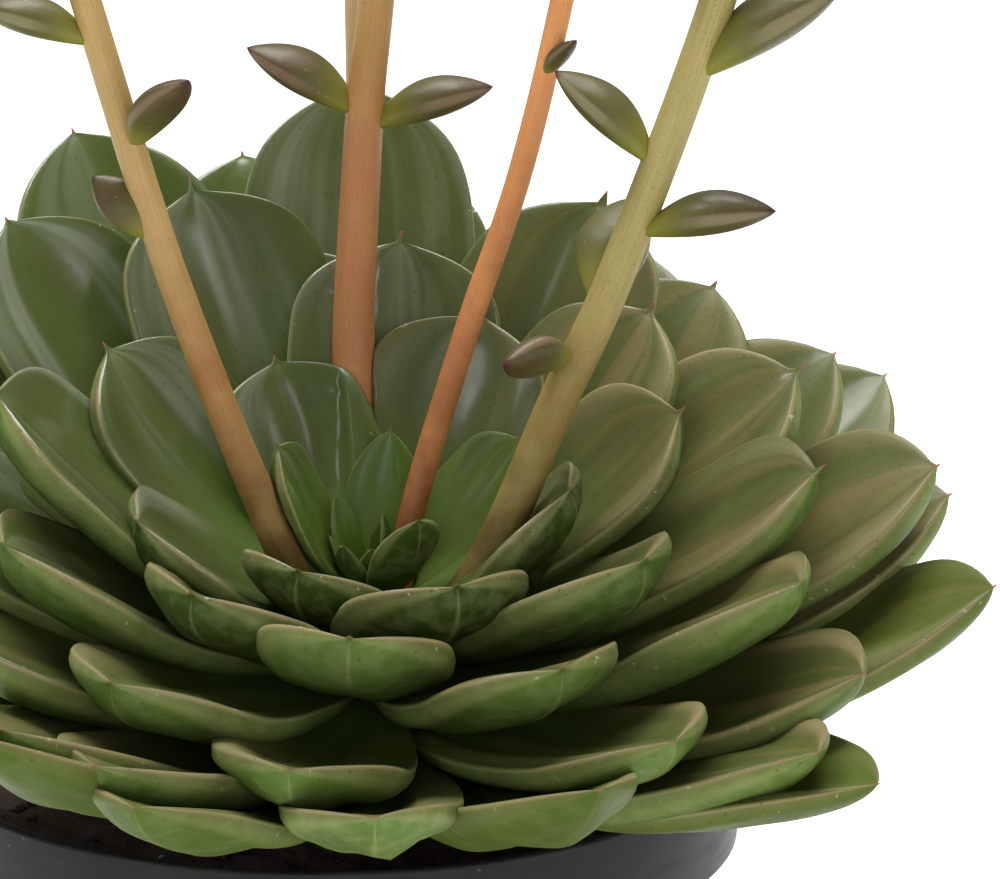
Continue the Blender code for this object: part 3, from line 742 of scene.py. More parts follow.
def frame_along(direction, origin):
    """A matrix whose Z runs along the direction and whose Y lies as near upwards as it can."""
    side = direction.cross(Vector((0, 0, 1)))
    side = side.normalized() if side.length > 0.01 else Vector((1, 0, 0))
    return frame_of(side, side.cross(direction), direction, origin)


def frame_sideways(direction, origin):
    """A matrix whose Z runs along an upward direction, turned so that its X stays to the right."""
    side = Vector((0, 1, 0)).cross(direction).normalized()
    return frame_of(side, direction.cross(side), direction, origin)


def stalk_tube(name):
    """The stem of a stalk, a tapering tube with a rounded top and a faint unevenness."""
    points = [route_point(name, step / LENGTH_STEPS) for step in range(LENGTH_STEPS + 1)]
    length = sum((end - start).length for start, end in zip(points, points[1:]))
    bm, moved = new_ball(TUBE_SIDES, TUBE_STEPS, STALK_SKIN)
    for vertex, ring, angle in moved:
        share = 1.0 - min(max(ring - CAP_STEPS, 0) / (TUBE_STEPS - CAP_STEPS - 1), 1.0)
        ahead = route_point(name, min(share + 0.005, 1.0)) - route_point(name, max(share - 0.005, 0.0))
        place = frame_sideways(ahead.normalized(), route_point(name, share))
        round_about = Vector((math.cos(angle), math.sin(angle), 0.0))
        climb = Vector((0.0, 0.0, share * length / GRAIN_LENGTH))
        tilt = 0.5 * math.pi * min(ring / CAP_STEPS, 1.0)
        fullness = 0.0 if ring == TUBE_STEPS else math.sin(tilt)
        relief = 1.0 + TUBE_RELIEF * noise.noise(1.3 * (round_about + climb))
        above = Vector((0.0, 0.0, CAP_HEIGHT * math.cos(tilt)))
        vertex.co = place @ (stalk_radius(name, share) * (relief * fullness * round_about + above))
        mark(bm, vertex, 0.5 * round_about + climb, (0, 0, 0))
    return bm


def spindle_full(share, belly):
    """Half width of a pointed body along its length, widest at the belly."""
    if not 0 < share < 1:
        return 0.0
    return math.sin(math.pi * share ** (math.log(0.5) / math.log(belly))) ** 0.8


def spindle(place, size, counts, skin, tint, belly=0.55, ribs=0.0):
    """A closed pointed body along +Z of its frame: a bract, bud, petal, sepal or carpel."""
    length, width, thickness = size
    bm, moved = new_ball(*counts, skin)
    for vertex, ring, angle in moved:
        share = 1.0 - ring / counts[1]
        full = spindle_full(share, belly) * (1.0 + ribs * math.cos(PETALS * angle))
        lift = ARCH_SHARE * length * math.sin(math.pi * share)
        across = 0.5 * width * full * math.cos(angle)
        up = 0.5 * thickness * full * math.sin(angle) + lift
        vertex.co = place @ Vector((across, up, length * share))
        mark(bm, vertex, (share, math.cos(angle), math.sin(angle)), (tint, 0, 0))
    return bm


def stalk_bracts(name):
    bracts = []
    for height, azimuth, length, slope, roll, purple in BRACTS[name]:
        start = route_point(name, share_at_height(name, 0.001 * height))
        place = frame_along(heading(azimuth, slope), start) @ Matrix.Rotation(math.radians(roll), 4, "Z")
        size = (length, BRACT_WIDTH_SHARE * length, BRACT_THICKNESS_SHARE * length)
        bracts.append(spindle(place, size, (BRACT_SIDES, BRACT_STEPS), BRACT_SKIN, purple))
    return bracts


def branch(start, end):
    """A flower's own short branch, which sinks into the stalk and the flower."""
    direction = end - start
    place = frame_along(direction.normalized(), start)
    bm, moved = new_ball(BRANCH_SIDES, BRANCH_STEPS, STALK_SKIN)
    for vertex, ring, angle in moved:
        share = 1.0 - ring / BRANCH_STEPS
        inside = 0.0 if ring in (0, BRANCH_STEPS) else 1.0
        radius = BRANCH_RADIUS * (1.0 - BRANCH_TAPER * share) * inside
        x, y = math.cos(angle), math.sin(angle)
        vertex.co = place @ Vector((radius * x, radius * y, share * direction.length))
        mark(bm, vertex, (x, y, 3.0 * share), (0, 0, 0))
    return bm


def sepals(flower, slope):
    made = []
    for sepal in range(PETALS):
        turn = 360.0 * (sepal + 0.5) / PETALS
        place = flower @ frame_along(heading(turn, slope), Vector((0, 0, -0.0006)))
        made.append(spindle(place, SEPAL_SIZE, (8, 8), BRACT_SKIN, 0.3))
    return made


def flower_bud(end, direction):
    """A closed five-ribbed bud in its cup of sepals."""
    place = frame_along(direction, end - 0.0008 * direction)
    bud = spindle(place, FLOWER_BUD_SIZE, (20, 14), PETAL_SKIN, 0.4, belly=0.4, ribs=0.06)
    return [bud] + sepals(place, 62)


def open_flower(end, direction):
    """A star of five pointed petals with sepals, carpels and stamens."""
    flower = frame_along(direction, end)
    made = sepals(flower, -8)
    for petal in range(PETALS):
        turn = 360.0 * petal / PETALS
        place = flower @ frame_along(heading(turn, 12), Vector((0, 0, 0.0002)))
        made.append(spindle(place, PETAL_SIZE, (14, 14), PETAL_SKIN, 1.0))
        carpel = flower @ frame_along(heading(turn + 36, 68), Vector((0, 0, 0)))
        made.append(spindle(carpel, CARPEL_SIZE, (8, 8), BRACT_SKIN, 0.1))
    for stamen in range(STAMENS):
        reach = heading(360.0 * (stamen + 0.25) / STAMENS, 48)
        foot = flower @ Vector((0, 0, 0.0004))
        made += stamen_parts(foot, flower @ (STAMEN_LENGTH * reach + Vector((0, 0, 0.0004))))
    return made


def stamen_parts(foot, top):
    """A thin filament with a round anther on its top."""
    stem = frame_along((top - foot).normalized(), foot)
    size = ((top - foot).length, FILAMENT_WIDTH, FILAMENT_WIDTH)
    anther = new_part()
    bmesh.ops.create_icosphere(anther, subdivisions=2, radius=ANTHER_RADIUS, matrix=Matrix.Translation(top))
    for face in anther.faces:
        face.material_index = ANTHER_SKIN
    return [spindle(stem, size, (6, 5), PETAL_SKIN, 0.0), anther]


def flower_head(name, number):
    """Short branches by the golden angle up the stalk's top, each with a bud or an open flower."""
    made = []
    for flower in range(FLOWERS_PER_STALK):
        climb = flower / (FLOWERS_PER_STALK - 1)
        start = route_point(name, between((HEAD_START, 1.0), climb))
        azimuth = GOLDEN_ANGLE * flower + HEAD_TURN * number
        direction = heading(azimuth, between(BRANCH_SLOPES, climb))
        end = start + between(BRANCH_LENGTHS, climb) * direction
        made.append(branch(start, end + 0.0006 * direction))
        made += open_flower(end, direction) if flower % OPEN_EVERY == 0 else flower_bud(end, direction)
    return made


# Pot and soil


def pot_profile():
    """From the inside floor up the inner wall, over the rim, down the outside to the base."""
    body_top = POT_RADIUS - STEP_IN
    band_foot = POT_HEIGHT - RIM_BAND
    lip = WALL / 2
    inner = [
        (0.0, FLOOR),
        (BASE_RADIUS - WALL, FLOOR),
        (body_top - WALL, band_foot),
        (POT_RADIUS - BAND_DRAFT - WALL, band_foot + STEP_IN),
    ]
    rim = arc((POT_RADIUS - lip, POT_HEIGHT - lip), lip, 180, 0, LIP_STEPS)
    outer = [
        (POT_RADIUS - BAND_DRAFT, band_foot + BAND_FOOT_ROUND),
        (POT_RADIUS - BAND_DRAFT - BAND_FOOT_ROUND, band_foot),
        (body_top, band_foot),
    ]
    foot = arc((BASE_RADIUS - FOOT_ROUND, FOOT_ROUND), FOOT_ROUND, 0, -90, FOOT_STEPS)
    return inner + rim + outer + foot + [(0.0, 0.0)]


def pot_inner_radius(height):
    """Radius of the pot's inner wall at a height below the rim band."""
    share = (height - FLOOR) / (POT_HEIGHT - RIM_BAND - FLOOR)
    return BASE_RADIUS - WALL + (POT_RADIUS - STEP_IN - BASE_RADIUS) * share


def lump(x, y):
    """Height of the crumbly soil top above its mean."""
    waves = math.sin(310 * x + 1.3) * math.cos(270 * y - 0.4) + 0.6 * math.sin(620 * (x + y))
    fine = noise.fractal(Vector((x, y, 0.0)) * 420, 0.8, 2.1, 4)
    return SOIL_LUMP * (0.5 * waves + 0.35 * fine)


def crumbs(settings, chance):
    """Loose crumbs of peat strewn over the soil, half sunk in it."""
    made = []
    edge = pot_inner_radius(SOIL_TOP) - CRUMB_MARGIN
    for _ in range(settings.crumbs):
        reach, turn = edge * math.sqrt(chance.random()), chance.uniform(0, 2 * math.pi)
        x, y = reach * math.cos(turn), reach * math.sin(turn)
        size = settings.crumb_size * chance.uniform(0.25, 1.0) ** 1.5
        spot = Vector((x, y, SOIL_TOP + lump(x, y) + 0.2 * size))
        spin = Matrix.Rotation(chance.uniform(0, 6.3), 4, Vector((chance.random(), chance.random(), 0.5)))
        shape = Matrix.Diagonal((size, size * chance.uniform(0.5, 1.0), size * chance.uniform(0.4, 0.8), 1))
        place = Matrix.Translation(spot) @ spin @ shape
        bm = new_part()
        bmesh.ops.create_icosphere(bm, subdivisions=1, radius=1.0, matrix=place)
        made.append(bm)
    return made


# Materials


class Shader:
    """Builds a material's or a group's nodes in short steps."""

    def __init__(self, tree):
        self.tree = tree

    def add(self, kind, inputs=None, **settings):
        node = self.tree.nodes.new(kind)
        for name, value in settings.items():
            setattr(node, name, value)
        for name, value in (inputs or {}).items():
            self.feed(node.inputs[name], value)
        return node

    def feed(self, socket, value):
        """Joins a socket to another, or sets its own value."""
        if isinstance(value, bpy.types.NodeSocket):
            self.tree.links.new(value, socket)
        elif socket.type == "RGBA" and len(value) == 3:
            socket.default_value = (*value, 1.0)
        else:
            socket.default_value = value

    def math(self, operation, first, second=0.0):
        return self.add("ShaderNodeMath", {0: first, 1: second}, operation=operation).outputs[0]

    def times(self, first, *others):
        """The product of all the values."""
        for other in others:
            first = self.math("MULTIPLY", first, other)
        return first

    def rise(self, value, low, high, start=0.0, end=1.0):
        """A smooth step of a value from start at low to end at high."""
        inputs = {"Value": value, "From Min": low, "From Max": high, "To Min": start, "To Max": end}
        return self.add("ShaderNodeMapRange", inputs, interpolation_type="SMOOTHSTEP").outputs["Result"]

    def spread(self, share, start, end):
        """A share from 0 to 1 turned into a value from start to end."""
        return self.rise(share, 0.0, 1.0, start, end)

    def mix(self, first, second, *shares):
        """The second colour laid over the first, as strongly as the product of the shares."""
        inputs = {0: self.times(*shares), 6: first, 7: second}
        return self.add("ShaderNodeMix", inputs, data_type="RGBA").outputs[2]

    def noise(self, vector, scale, detail=2.0, roughness=0.5):
        inputs = {"Vector": vector, "Scale": scale, "Detail": detail, "Roughness": roughness}
        return self.add("ShaderNodeTexNoise", inputs).outputs["Fac"]

    def place(self):
        return self.add("ShaderNodeTexCoord").outputs["Object"]

    def stretch(self, vector, scale):
        return self.add("ShaderNodeMapping", {"Vector": vector, "Scale": scale}).outputs[0]

    def attribute(self, name):
        """The three numbers that the mesh carries under this name, together and one by one."""
        numbers = self.add("ShaderNodeAttribute", attribute_name=name).outputs["Vector"]
        return numbers, self.add("ShaderNodeSeparateXYZ", {0: numbers}).outputs

    def mottling(self, vector, scale, low, high):
        """Soft cloudy patches, 0 to 1, such as living skin and peat have."""
        tree = shared_group("mottling", ("Scale", "Low", "High"), mottling_nodes)
        return self.group(tree, vector, scale, low, high)

    def specks(self, vector, scale, size, share):
        """Small round dots strewn over a surface, 1 inside a dot."""
        tree = shared_group("specks", ("Scale", "Size", "Share"), specks_nodes)
        return self.group(tree, vector, scale, size, share)

    def group(self, tree, *values):
        node = self.add("ShaderNodeGroup", node_tree=tree)
        for socket, value in zip(node.inputs, values):
            self.feed(socket, value)
        return node.outputs[0]

    def dress(self, skin, colour, roughness, relief, strength, distance):
        """Joins a colour, a roughness and a fine relief to the Principled shader."""
        bump = self.add("ShaderNodeBump", {"Strength": strength, "Distance": distance, "Height": relief})
        self.feed(skin["Base Color"], colour)
        self.feed(skin["Roughness"], roughness)
        self.feed(skin["Normal"], bump.outputs["Normal"])


def shared_group(name, numbers, make_nodes):
    """The node group of this name, made at its first use: a vector and some numbers in, one share out."""
    tree = bpy.data.node_groups.get(name)
    if tree:
        return tree
    tree = bpy.data.node_groups.new(name, "ShaderNodeTree")
    tree.interface.new_socket("Vector", in_out="INPUT", socket_type="NodeSocketVector")
    for number in numbers:
        tree.interface.new_socket(number, in_out="INPUT", socket_type="NodeSocketFloat")
    tree.interface.new_socket("Result", in_out="OUTPUT", socket_type="NodeSocketFloat")
    given = tree.nodes.new("NodeGroupInput").outputs
    result = tree.nodes.new("NodeGroupOutput").inputs
    shader = Shader(tree)
    shader.feed(result["Result"], make_nodes(shader, given))
    return tree


def mottling_nodes(shader, given):
    cloud = shader.noise(given["Vector"], given["Scale"], 3.0, 0.6)
    return shader.rise(cloud, given["Low"], given["High"])


def specks_nodes(shader, given):
    cells = shader.add("ShaderNodeTexVoronoi", {"Vector": given["Vector"], "Scale": given["Scale"]})
    near = shader.math("LESS_THAN", cells.outputs["Distance"], given["Size"])
    draw = shader.add("ShaderNodeSeparateColor", {0: cells.outputs["Color"]}).outputs[0]
    return shader.times(near, shader.math("LESS_THAN", draw, given["Share"]))


def new_material(name):
    """A material, the steps to build its nodes, and the sockets of its Principled shader."""
    material = bpy.data.materials.new(name)
    material.use_nodes = True
    return material, Shader(material.node_tree), material.node_tree.nodes["Principled BSDF"].inputs


def leaf_material(settings):
    """The skin of all leaves, by the place on the leaf, the leaf's age and how far the sun browned it."""
    material, shader, skin = new_material("leaf_skin")
    place = shader.place()
    _, (along, across, upper) = shader.attribute("form_place")
    _, (age, seed, flush) = shader.attribute("form_kind")
    side = shader.math("ABSOLUTE", across)
    above = shader.rise(upper, -0.15, 0.15)
    clouds = shader.mottling(place, 70.0, 0.30, 0.70)

    # Upper face: dark olive outwards, fresh towards the root, browned in long streaks on the sunned side
    rootward = shader.times(shader.rise(along, 0.70, 0.25), 0.8)
    greener = shader.math("MAXIMUM", rootward, shader.rise(age, 0.12, 0.0))
    face = shader.mix(settings.upper, settings.fresh, greener)
    face = shader.mix(face, tuple(1.5 * c for c in settings.upper), clouds, 0.3)
    own = shader.add("ShaderNodeCombineXYZ", {0: across, 1: along, 2: shader.times(seed, 40.0)})
    lanes = shader.stretch(own.outputs[0], (1.0, 0.35, 1.0))
    streaks = shader.spread(shader.mottling(lanes, 2.4, 0.38, 0.66), 0.25, 1.0)
    # The flush it reads is partly the sun's real browning and partly a painted highlight on the fold ridges
    face = shader.mix(face, settings.flush, flush, shader.rise(along, 0.40, 0.80), streaks)
    # Pale grey green patches near the tops of the back leaves: partly their waxy bloom, partly a painted
    # reflection of the soft lights
    waxy_sheen = shader.times(shader.mottling(lanes, 1.7, 0.44, 0.68), shader.rise(along, 0.45, 0.85))
    face = shader.mix(face, settings.bloom_and_sheen, waxy_sheen, shader.rise(flush, 0.3, 0.0, 0.0, 0.42))

    # Underside: mid green with pale blotches and brown stains, yellower on the lowest leaves, darker on the
    # inner leaves as painted shade, with a painted glint below the margin
    old = shader.rise(age, 0.74, 0.92)
    # The inner leaves' undersides are darkened as painted shade, for their place deep in the rosette
    shaded = tuple(0.42 * c for c in settings.fresh)
    below = shader.mix(settings.under, shaded, shader.rise(age, 0.30, 0.17))
    below = shader.mix(below, settings.old, old, 0.8)
    paler = shader.mix(below, (0.36, 0.40, 0.20), 0.5)
    below = shader.mix(below, paler, shader.mottling(place, 260.0, 0.40, 0.64), 0.30)
    below = shader.mix(below, (0.052, 0.058, 0.012), shader.mottling(place, 85.0, 0.50, 0.68), 0.42)
    # A pale band just below the margin on the undersides: a painted highlight
    glint = shader.times(shader.rise(upper, -0.62, -0.35), shader.rise(upper, -0.08, -0.25))
    below = shader.mix(below, settings.margin, glint, shader.rise(along, 0.4, 0.8, 0.0, 0.35))
    keel = shader.times(shader.rise(side, 0.07, 0.0), shader.rise(along, 0.55, 0.9))
    below = shader.mix(below, settings.margin, keel, 0.45)
    colour = shader.mix(below, face, above)
    colour = shader.mix(colour, settings.old, old, 0.7)

    # Margin: a soft pale lip with a thin paler line on it, tan towards the tip, and the small red point
    rim = shader.mix(settings.margin, settings.blush, shader.rise(along, 0.70, 0.97))
    grown_out = shader.rise(along, 0.15, 0.45)
    lip = shader.rise(shader.math("ABSOLUTE", upper), 0.30, 0.0)
    colour = shader.mix(colour, rim, lip, grown_out, 0.32)
    line = shader.times(shader.rise(side, 0.985, 0.998), shader.rise(upper, -0.05, 0.0))
    colour = shader.mix(colour, rim, line, grown_out, 0.65)
    browned = shader.times(above, flush)
    inside_rim = shader.times(shader.rise(side, 0.72, 0.92), shader.rise(side, 0.985, 0.93))
    colour = shader.mix(colour, (0.15, 0.085, 0.045), inside_rim, browned, 0.25)
    # A pale tan band on the browned upper face along the margin: a painted highlight of light grazing the
    # lip
    lip_highlight = shader.times(shader.rise(side, 0.50, 0.90), shader.rise(along, 0.45, 0.85))
    colour = shader.mix(colour, (0.27, 0.235, 0.120), lip_highlight, browned, 0.38)
    colour = shader.mix(colour, settings.point, shader.rise(along, 0.986, 0.996))

    # Small dark dots, and pale scars near the margin
    colour = shader.mix(colour, (0.03, 0.032, 0.010), shader.specks(place, 950.0, 0.22, 0.14), 0.45)
    scarred = shader.times(shader.rise(side, 0.90, 0.97), shader.rise(along, 0.5, 0.8))
    colour = shader.mix(colour, (0.42, 0.38, 0.26), shader.mottling(place, 650.0, 0.66, 0.74), scarred)

    # Undersides are matt. Upper faces shine where the sun didn't brown them
    matt = shader.times(shader.rise(upper, 0.15, -0.15), 0.12)
    roughness = shader.math("ADD", matt, shader.spread(clouds, 0.38, 0.48))
    skin["Specular IOR Level"].default_value = 0.12
    gloss = shader.times(above, shader.rise(flush, 0.1, 0.6, 0.85, 0.08), shader.rise(age, 0.02, 0.12))
    shader.feed(skin["Coat Weight"], shader.times(gloss, shader.spread(clouds, 1.0, 0.5)))
    skin["Coat Roughness"].default_value = 0.20
    pores = shader.times(shader.noise(place, 1500.0, 2.0, 0.6), 0.25)
    relief = shader.math("ADD", pores, shader.noise(place, 220.0))
    shader.dress(skin, colour, roughness, relief, 0.35, 0.0003)
    return material


def stalk_material(name, look):
    """The skin of one stalk: three colours up its height, the dark foot partly painted shade under the
    leaves, fine lengthwise grain and specks.
    """
    material, shader, skin = new_material(name + "_skin")
    place = shader.place()
    height = shader.add("ShaderNodeSeparateXYZ", {0: place}).outputs["Z"]
    grain, _ = shader.attribute("form_place")
    low, middle, high = look["bands"]
    # The foot colour is partly the stalk's own brown and partly painted shade from the leaves above it
    colour = shader.mix(look["foot"], look["middle"], shader.rise(height, low, middle))
    colour = shader.mix(colour, look["top"], shader.rise(height, middle, high))
    fibres = shader.mottling(shader.stretch(grain, (9.0, 9.0, 1.1)), 2.2, 0.30, 0.70)
    darker = tuple(c * factor for c, factor in zip(look["middle"], (0.72, 0.62, 0.5)))
    colour = shader.mix(colour, darker, fibres, 0.35)
    lighter = tuple(min(1.0, c * 1.25) for c in look["top"])
    colour = shader.mix(colour, lighter, shader.mottling(place, 120.0, 0.35, 0.7), 0.25)
    dots = shader.specks(place, 1500.0, 0.26, 0.4)
    colour = shader.mix(colour, tuple(0.45 * c for c in look["middle"]), dots, look["specks"])
    skin["Specular IOR Level"].default_value = 0.3
    relief = shader.math("ADD", fibres, shader.noise(place, 1400.0))
    shader.dress(skin, colour, shader.spread(fibres, 0.42, 0.55), relief, 0.25, 0.0002)
    return material


def bract_material(settings):
    """The skin of a bract: yellow green at its foot, grey green, then purple brown to a dark tip."""
    material, shader, skin = new_material("bract_skin")
    place = shader.place()
    _, (along, across, _) = shader.attribute("form_place")
    _, (purple, _, _) = shader.attribute("form_kind")
    patches = shader.mottling(place, 240.0, 0.35, 0.70)
    colour = shader.mix(settings.bract_green, settings.bract_grey, shader.rise(along, 0.12, 0.50))
    sunned = shader.times(shader.rise(along, 0.25, 0.80), shader.spread(patches, 0.7, 1.0))
    colour = shader.mix(colour, settings.bract_purple, sunned, purple)
    side = shader.math("ABSOLUTE", across)
    edge = shader.times(shader.rise(side, 0.93, 0.99), shader.rise(along, 0.3, 0.6))
    rim = shader.mix((0.34, 0.34, 0.17), (0.24, 0.13, 0.09), purple)
    colour = shader.mix(colour, rim, edge, 0.5)
    colour = shader.mix(colour, (0.06, 0.018, 0.018), shader.rise(along, 0.92, 0.985))
    colour = shader.mix(colour, (0.34, 0.30, 0.20), shader.specks(place, 900.0, 0.16, 0.12), 0.35)
    skin["Specular IOR Level"].default_value = 0.24
    relief = shader.noise(place, 1100.0)
    shader.dress(skin, colour, shader.spread(patches, 0.38, 0.50), relief, 0.25, 0.0002)
    return material


def petal_material(settings):
    """Cream yellow petals with red dots towards their tips."""
    material, shader, skin = new_material("petal_skin")
    place = shader.place()
    _, (along, _, _) = shader.attribute("form_place")
    _, (marked, _, _) = shader.attribute("form_kind")
    patches = shader.mottling(place, 500.0, 0.3, 0.7)
    colour = shader.mix(settings.petal, (0.62, 0.60, 0.20), shader.rise(along, 0.5, 0.0))
    colour = shader.mix(colour, (0.85, 0.70, 0.40), patches, 0.2)
    dots = shader.times(shader.specks(place, 1500.0, 0.34, 0.6), marked, shader.rise(along, 0.3, 0.6))
    colour = shader.mix(colour, settings.petal_mark, dots, 0.8)
    relief = shader.noise(place, 2000.0)
    shader.dress(skin, colour, shader.spread(patches, 0.45, 0.6), relief, 0.2, 0.0001)
    return material


def anther_material():
    """Powdery yellow anthers."""
    material, shader, skin = new_material("anther_skin")
    grains = shader.specks(shader.place(), 6000.0, 0.4, 0.5)
    shader.feed(skin["Base Color"], shader.mix((0.62, 0.34, 0.05), (0.85, 0.62, 0.15), grains))
    shader.feed(skin["Roughness"], shader.spread(grains, 0.8, 0.95))
    return material


def pot_material(settings):
    """Satin black plastic with faint scuffs, flow lines and a little dust."""
    material, shader, skin = new_material("pot_plastic")
    place = shader.place()
    flat = shader.stretch(place, (1.0, 1.0, 6.0))
    scuffs = shader.mottling(flat, 55.0, 0.42, 0.75)
    colour = shader.mix(settings.plastic, (0.040, 0.036, 0.038), scuffs, 0.35)
    colour = shader.mix(colour, (0.14, 0.11, 0.09), shader.specks(place, 420.0, 0.10, 0.12), 0.5)
    roughness = shader.spread(scuffs, settings.roughness, settings.roughness + 0.14)
    skin["Specular IOR Level"].default_value = 0.2
    fine = shader.times(shader.noise(place, 2600.0, 2.0, 0.6), 0.12)
    relief = shader.math("ADD", fine, shader.noise(flat, 30.0))
    shader.dress(skin, colour, roughness, relief, 0.25, 0.0002)
    return material


def soil_material(settings):
    """Moist peat: almost black with reddish brown fibres, crumbs and a little pale grit."""
    material, shader, skin = new_material("peat_crumb")
    place = shader.place()
    clods = shader.mottling(place, 150.0, 0.35, 0.75)
    colour = shader.mix(settings.dark, settings.light, clods, 0.45)
    colour = shader.mix(colour, settings.light, shader.mottling(place, 900.0, 0.40, 0.80), 0.4)
    colour = shader.mix(colour, (0.40, 0.34, 0.27), shader.specks(place, 350.0, 0.16, 0.08))
    relief = shader.noise(place, 1200.0, 4.0, 0.7)
    shader.dress(skin, colour, shader.spread(clods, 0.75, 0.95), relief, 0.7, 0.0006)
    return material


def floor_material(colour):
    """A plain matt floor."""
    material, shader, skin = new_material("plain_floor")
    shader.feed(skin["Base Color"], colour)
    skin["Roughness"].default_value = 0.9
    return material


# Operators


class AddLeaves(bpy.types.Operator):
    """Make the rosette's leaves and its stem"""

    bl_idname = "graptopetalum.add_leaves"
    bl_label = "Leaves"

    def execute(self, context):
        material = leaf_material(context.scene.graptopetalum_leaves)
        jitter, looks = random.Random(LEAF_SEED), random.Random(LEAF_SEED + 1)
        leaves = [Leaf(number, jitter) for number in range(-BUD_COUNT, LEAF_COUNT)]
        for leaf in leaves:
            leaf.add_looks(looks)
        groups = {
            "inner_leaves": [leaf for leaf in leaves if leaf.number < INNER_LEAVES],
            "outer_leaves": [leaf for leaf in leaves if leaf.number >= INNER_LEAVES],
        }
        for name, members in groups.items():
            parts = [finished_leaf(leaf) for leaf in members]
            for part in parts:
                push_off_stalks(part)
            if name == "inner_leaves":
                parts.append(rosette_stem())
            finish_piece(join_parts(parts, name, [material]), ["rosette"])
        return {"FINISHED"}


class AddStalks(bpy.types.Operator):
    """Make the five flower stalks with their bracts and flower heads"""

    bl_idname = "graptopetalum.add_stalks"
    bl_label = "Flower stalks"

    def execute(self, context):
        settings = context.scene.graptopetalum_stalks
        shared = [bract_material(settings), petal_material(settings), anther_material()]
        for number, (name, look) in enumerate(STALKS.items()):
            parts = [stalk_tube(name)] + stalk_bracts(name) + flower_head(name, number)
            skins = [stalk_material(name, look)] + shared
            piece = join_parts(parts, name.replace("flower_stalk", "grown_stalk"), skins)
            finish_piece(piece, [name])
        return {"FINISHED"}


class AddPot(bpy.types.Operator):
    """Make the nursery pot with its drainage holes"""

    bl_idname = "graptopetalum.add_pot"
    bl_label = "Pot"

    def execute(self, context):
        bm = new_part()
        spin_profile(bm, pot_profile(), POT_SEGMENTS)
        piece = join_parts([bm], "nursery_pot", [pot_material(context.scene.graptopetalum_pot)])
        drill(piece)
        finish_piece(piece, ["pot"])
        piece.data.set_sharp_from_angle(angle=math.radians(SHARP_ANGLE))
        return {"FINISHED"}


def drill(pot):
    """Cuts the ring of drainage holes through the pot's floor."""
    bm = bmesh.new()
    for hole in range(DRAIN_HOLES):
        angle = 2 * math.pi * (hole + 0.5) / DRAIN_HOLES
        middle = Vector((DRAIN_CIRCLE * math.cos(angle), DRAIN_CIRCLE * math.sin(angle), FLOOR / 2))
        form = {"radius1": DRAIN_RADIUS, "radius2": DRAIN_RADIUS, "depth": 4 * FLOOR, "segments": 32}
        bmesh.ops.create_cone(bm, cap_ends=True, matrix=Matrix.Translation(middle), **form)
    drills = new_object(bm, "drills")
    cut = pot.modifiers.new("Drainage", "BOOLEAN")
    cut.operation = "DIFFERENCE"
    cut.object = drills
    graph = bpy.context.evaluated_depsgraph_get()
    drilled = bpy.data.meshes.new_from_object(pot.evaluated_get(graph))
    pot.modifiers.clear()
    pot.data = drilled
    bpy.data.objects.remove(drills, do_unlink=True)


class AddSoil(bpy.types.Operator):
    """Make the moist peat and its loose crumbs"""

    bl_idname = "graptopetalum.add_soil"
    bl_label = "Soil"

    def execute(self, context):
        settings = context.scene.graptopetalum_soil
        shoulder = SOIL_TOP - SOIL_SHOULDER
        edge_top = pot_inner_radius(shoulder) - GAP
        edge_foot = pot_inner_radius(FLOOR) - GAP
        top = [((edge_top - EDGE_BEVEL) * ring / SOIL_RINGS, SOIL_TOP) for ring in range(SOIL_RINGS + 1)]
        profile = top + [(edge_top, shoulder), (edge_foot, FLOOR + GAP), (0.0, FLOOR + GAP)]
        bm = new_part()
        spin_profile(bm, profile, SOIL_SEGMENTS)
        for vertex in bm.verts:
            x, y, z = vertex.co
            if z > SOIL_TOP - 0.0001:
                sunk = EDGE_SINK * ramp(math.hypot(x, y), edge_top - EDGE_ROUND, edge_top)
                vertex.co.z += lump(x, y) - sunk
        parts = [bm] + crumbs(settings, random.Random(SOIL_SEED))
        finish_piece(join_parts(parts, "peat", [soil_material(settings)]), ["soil"])
        return {"FINISHED"}


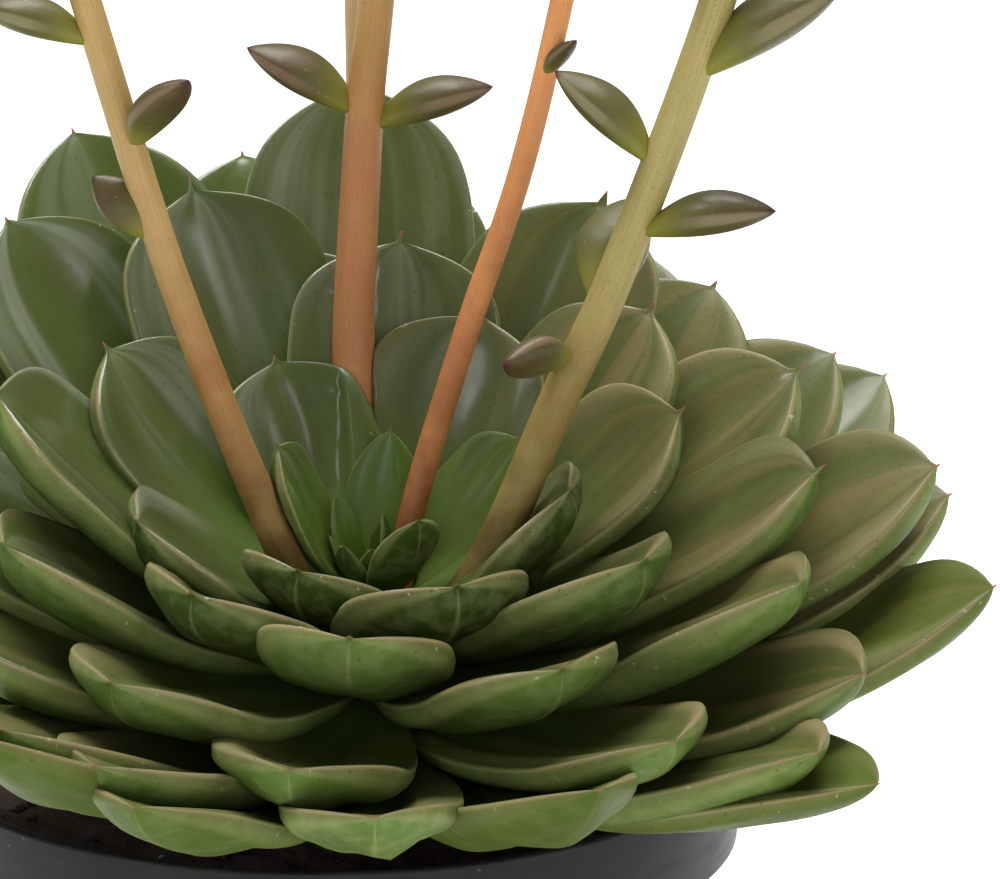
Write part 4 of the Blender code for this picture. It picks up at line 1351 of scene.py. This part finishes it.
class AddStage(bpy.types.Operator):
    """Make the plain floor, the soft lights and the camera of the photograph"""

    bl_idname = "graptopetalum.add_stage"
    bl_label = "Stage"

    def execute(self, context):
        settings = context.scene.graptopetalum_stage
        scene = context.scene
        bm = bmesh.new()
        bmesh.ops.create_grid(bm, x_segments=1, y_segments=1, size=FLOOR_SIZE)
        floor = new_object(bm, "floor", [floor_material(settings.floor)])

        add_light("top_light", (-0.10, 0.50, 1.45), (1.4, 1.0), settings.top_light)
        add_light("front_light", (0.15, -1.7, 0.60), (1.2, 0.6), settings.front_light)
        add_light("left_light", (-1.2, -1.0, 0.70), (0.22, 1.2), settings.side_light)
        add_light("right_light", (1.25, -0.9, 0.70), (0.22, 1.2), settings.side_light)

        world = bpy.data.worlds.new("plain_surroundings")
        world.use_nodes = True
        backdrop = world.node_tree.nodes["Background"].inputs
        backdrop["Color"].default_value = (1.0, 1.0, 1.0, 1.0)
        backdrop["Strength"].default_value = settings.sky
        scene.world = world
        scene.view_settings.view_transform = "Standard"

        lens = bpy.data.cameras.new("photo_camera")
        lens.lens = CAMERA_LENS
        lens.clip_end = 20.0
        camera = add_object("photo_camera", lens)
        camera.location = CAMERA_PLACE
        camera.rotation_euler = (math.radians(CAMERA_TILT), 0.0, 0.0)
        scene.camera = camera
        return {"FINISHED"}


def add_light(name, place, size, power):
    """A soft light box that faces the plant."""
    light = bpy.data.lights.new(name, "AREA")
    light.shape = "RECTANGLE"
    light.size, light.size_y = size
    light.energy = power
    lamp = add_object(name, light)
    lamp.location = place
    toward = HEART - Vector(place)
    lamp.rotation_euler = toward.to_track_quat("-Z", "Y").to_euler()


class GraptopetalumPanel(bpy.types.Panel):
    """Lists the pieces and what can be changed on each"""

    bl_idname = "VIEW3D_PT_graptopetalum"
    bl_label = "Potted graptopetalum"
    bl_space_type = "VIEW_3D"
    bl_region_type = "UI"
    bl_category = "Graptopetalum"

    def draw(self, context):
        for operator, pointer, _ in PIECES:
            box = self.layout.box()
            settings = getattr(context.scene, pointer)
            for name in settings.__annotations__:
                box.prop(settings, name)
            box.operator(operator.bl_idname)


# Each operator, the name of its settings on the scene, and their class
PIECES = (
    (AddLeaves, "graptopetalum_leaves", LeafSettings),
    (AddStalks, "graptopetalum_stalks", StalkSettings),
    (AddPot, "graptopetalum_pot", PotSettings),
    (AddSoil, "graptopetalum_soil", SoilSettings),
    (AddStage, "graptopetalum_stage", StageSettings),
)


def register():
    for operator, pointer, settings in PIECES:
        bpy.utils.register_class(settings)
        setattr(bpy.types.Scene, pointer, bpy.props.PointerProperty(type=settings))
        bpy.utils.register_class(operator)
    bpy.utils.register_class(GraptopetalumPanel)


def unregister():
    bpy.utils.unregister_class(GraptopetalumPanel)
    for operator, pointer, settings in reversed(PIECES):
        bpy.utils.unregister_class(operator)
        delattr(bpy.types.Scene, pointer)
        bpy.utils.unregister_class(settings)


def main():
    register()
    bpy.ops.graptopetalum.add_leaves()
    bpy.ops.graptopetalum.add_stalks()
    bpy.ops.graptopetalum.add_pot()
    bpy.ops.graptopetalum.add_soil()
    bpy.ops.graptopetalum.add_stage()


if __name__ == "__main__":
    main()
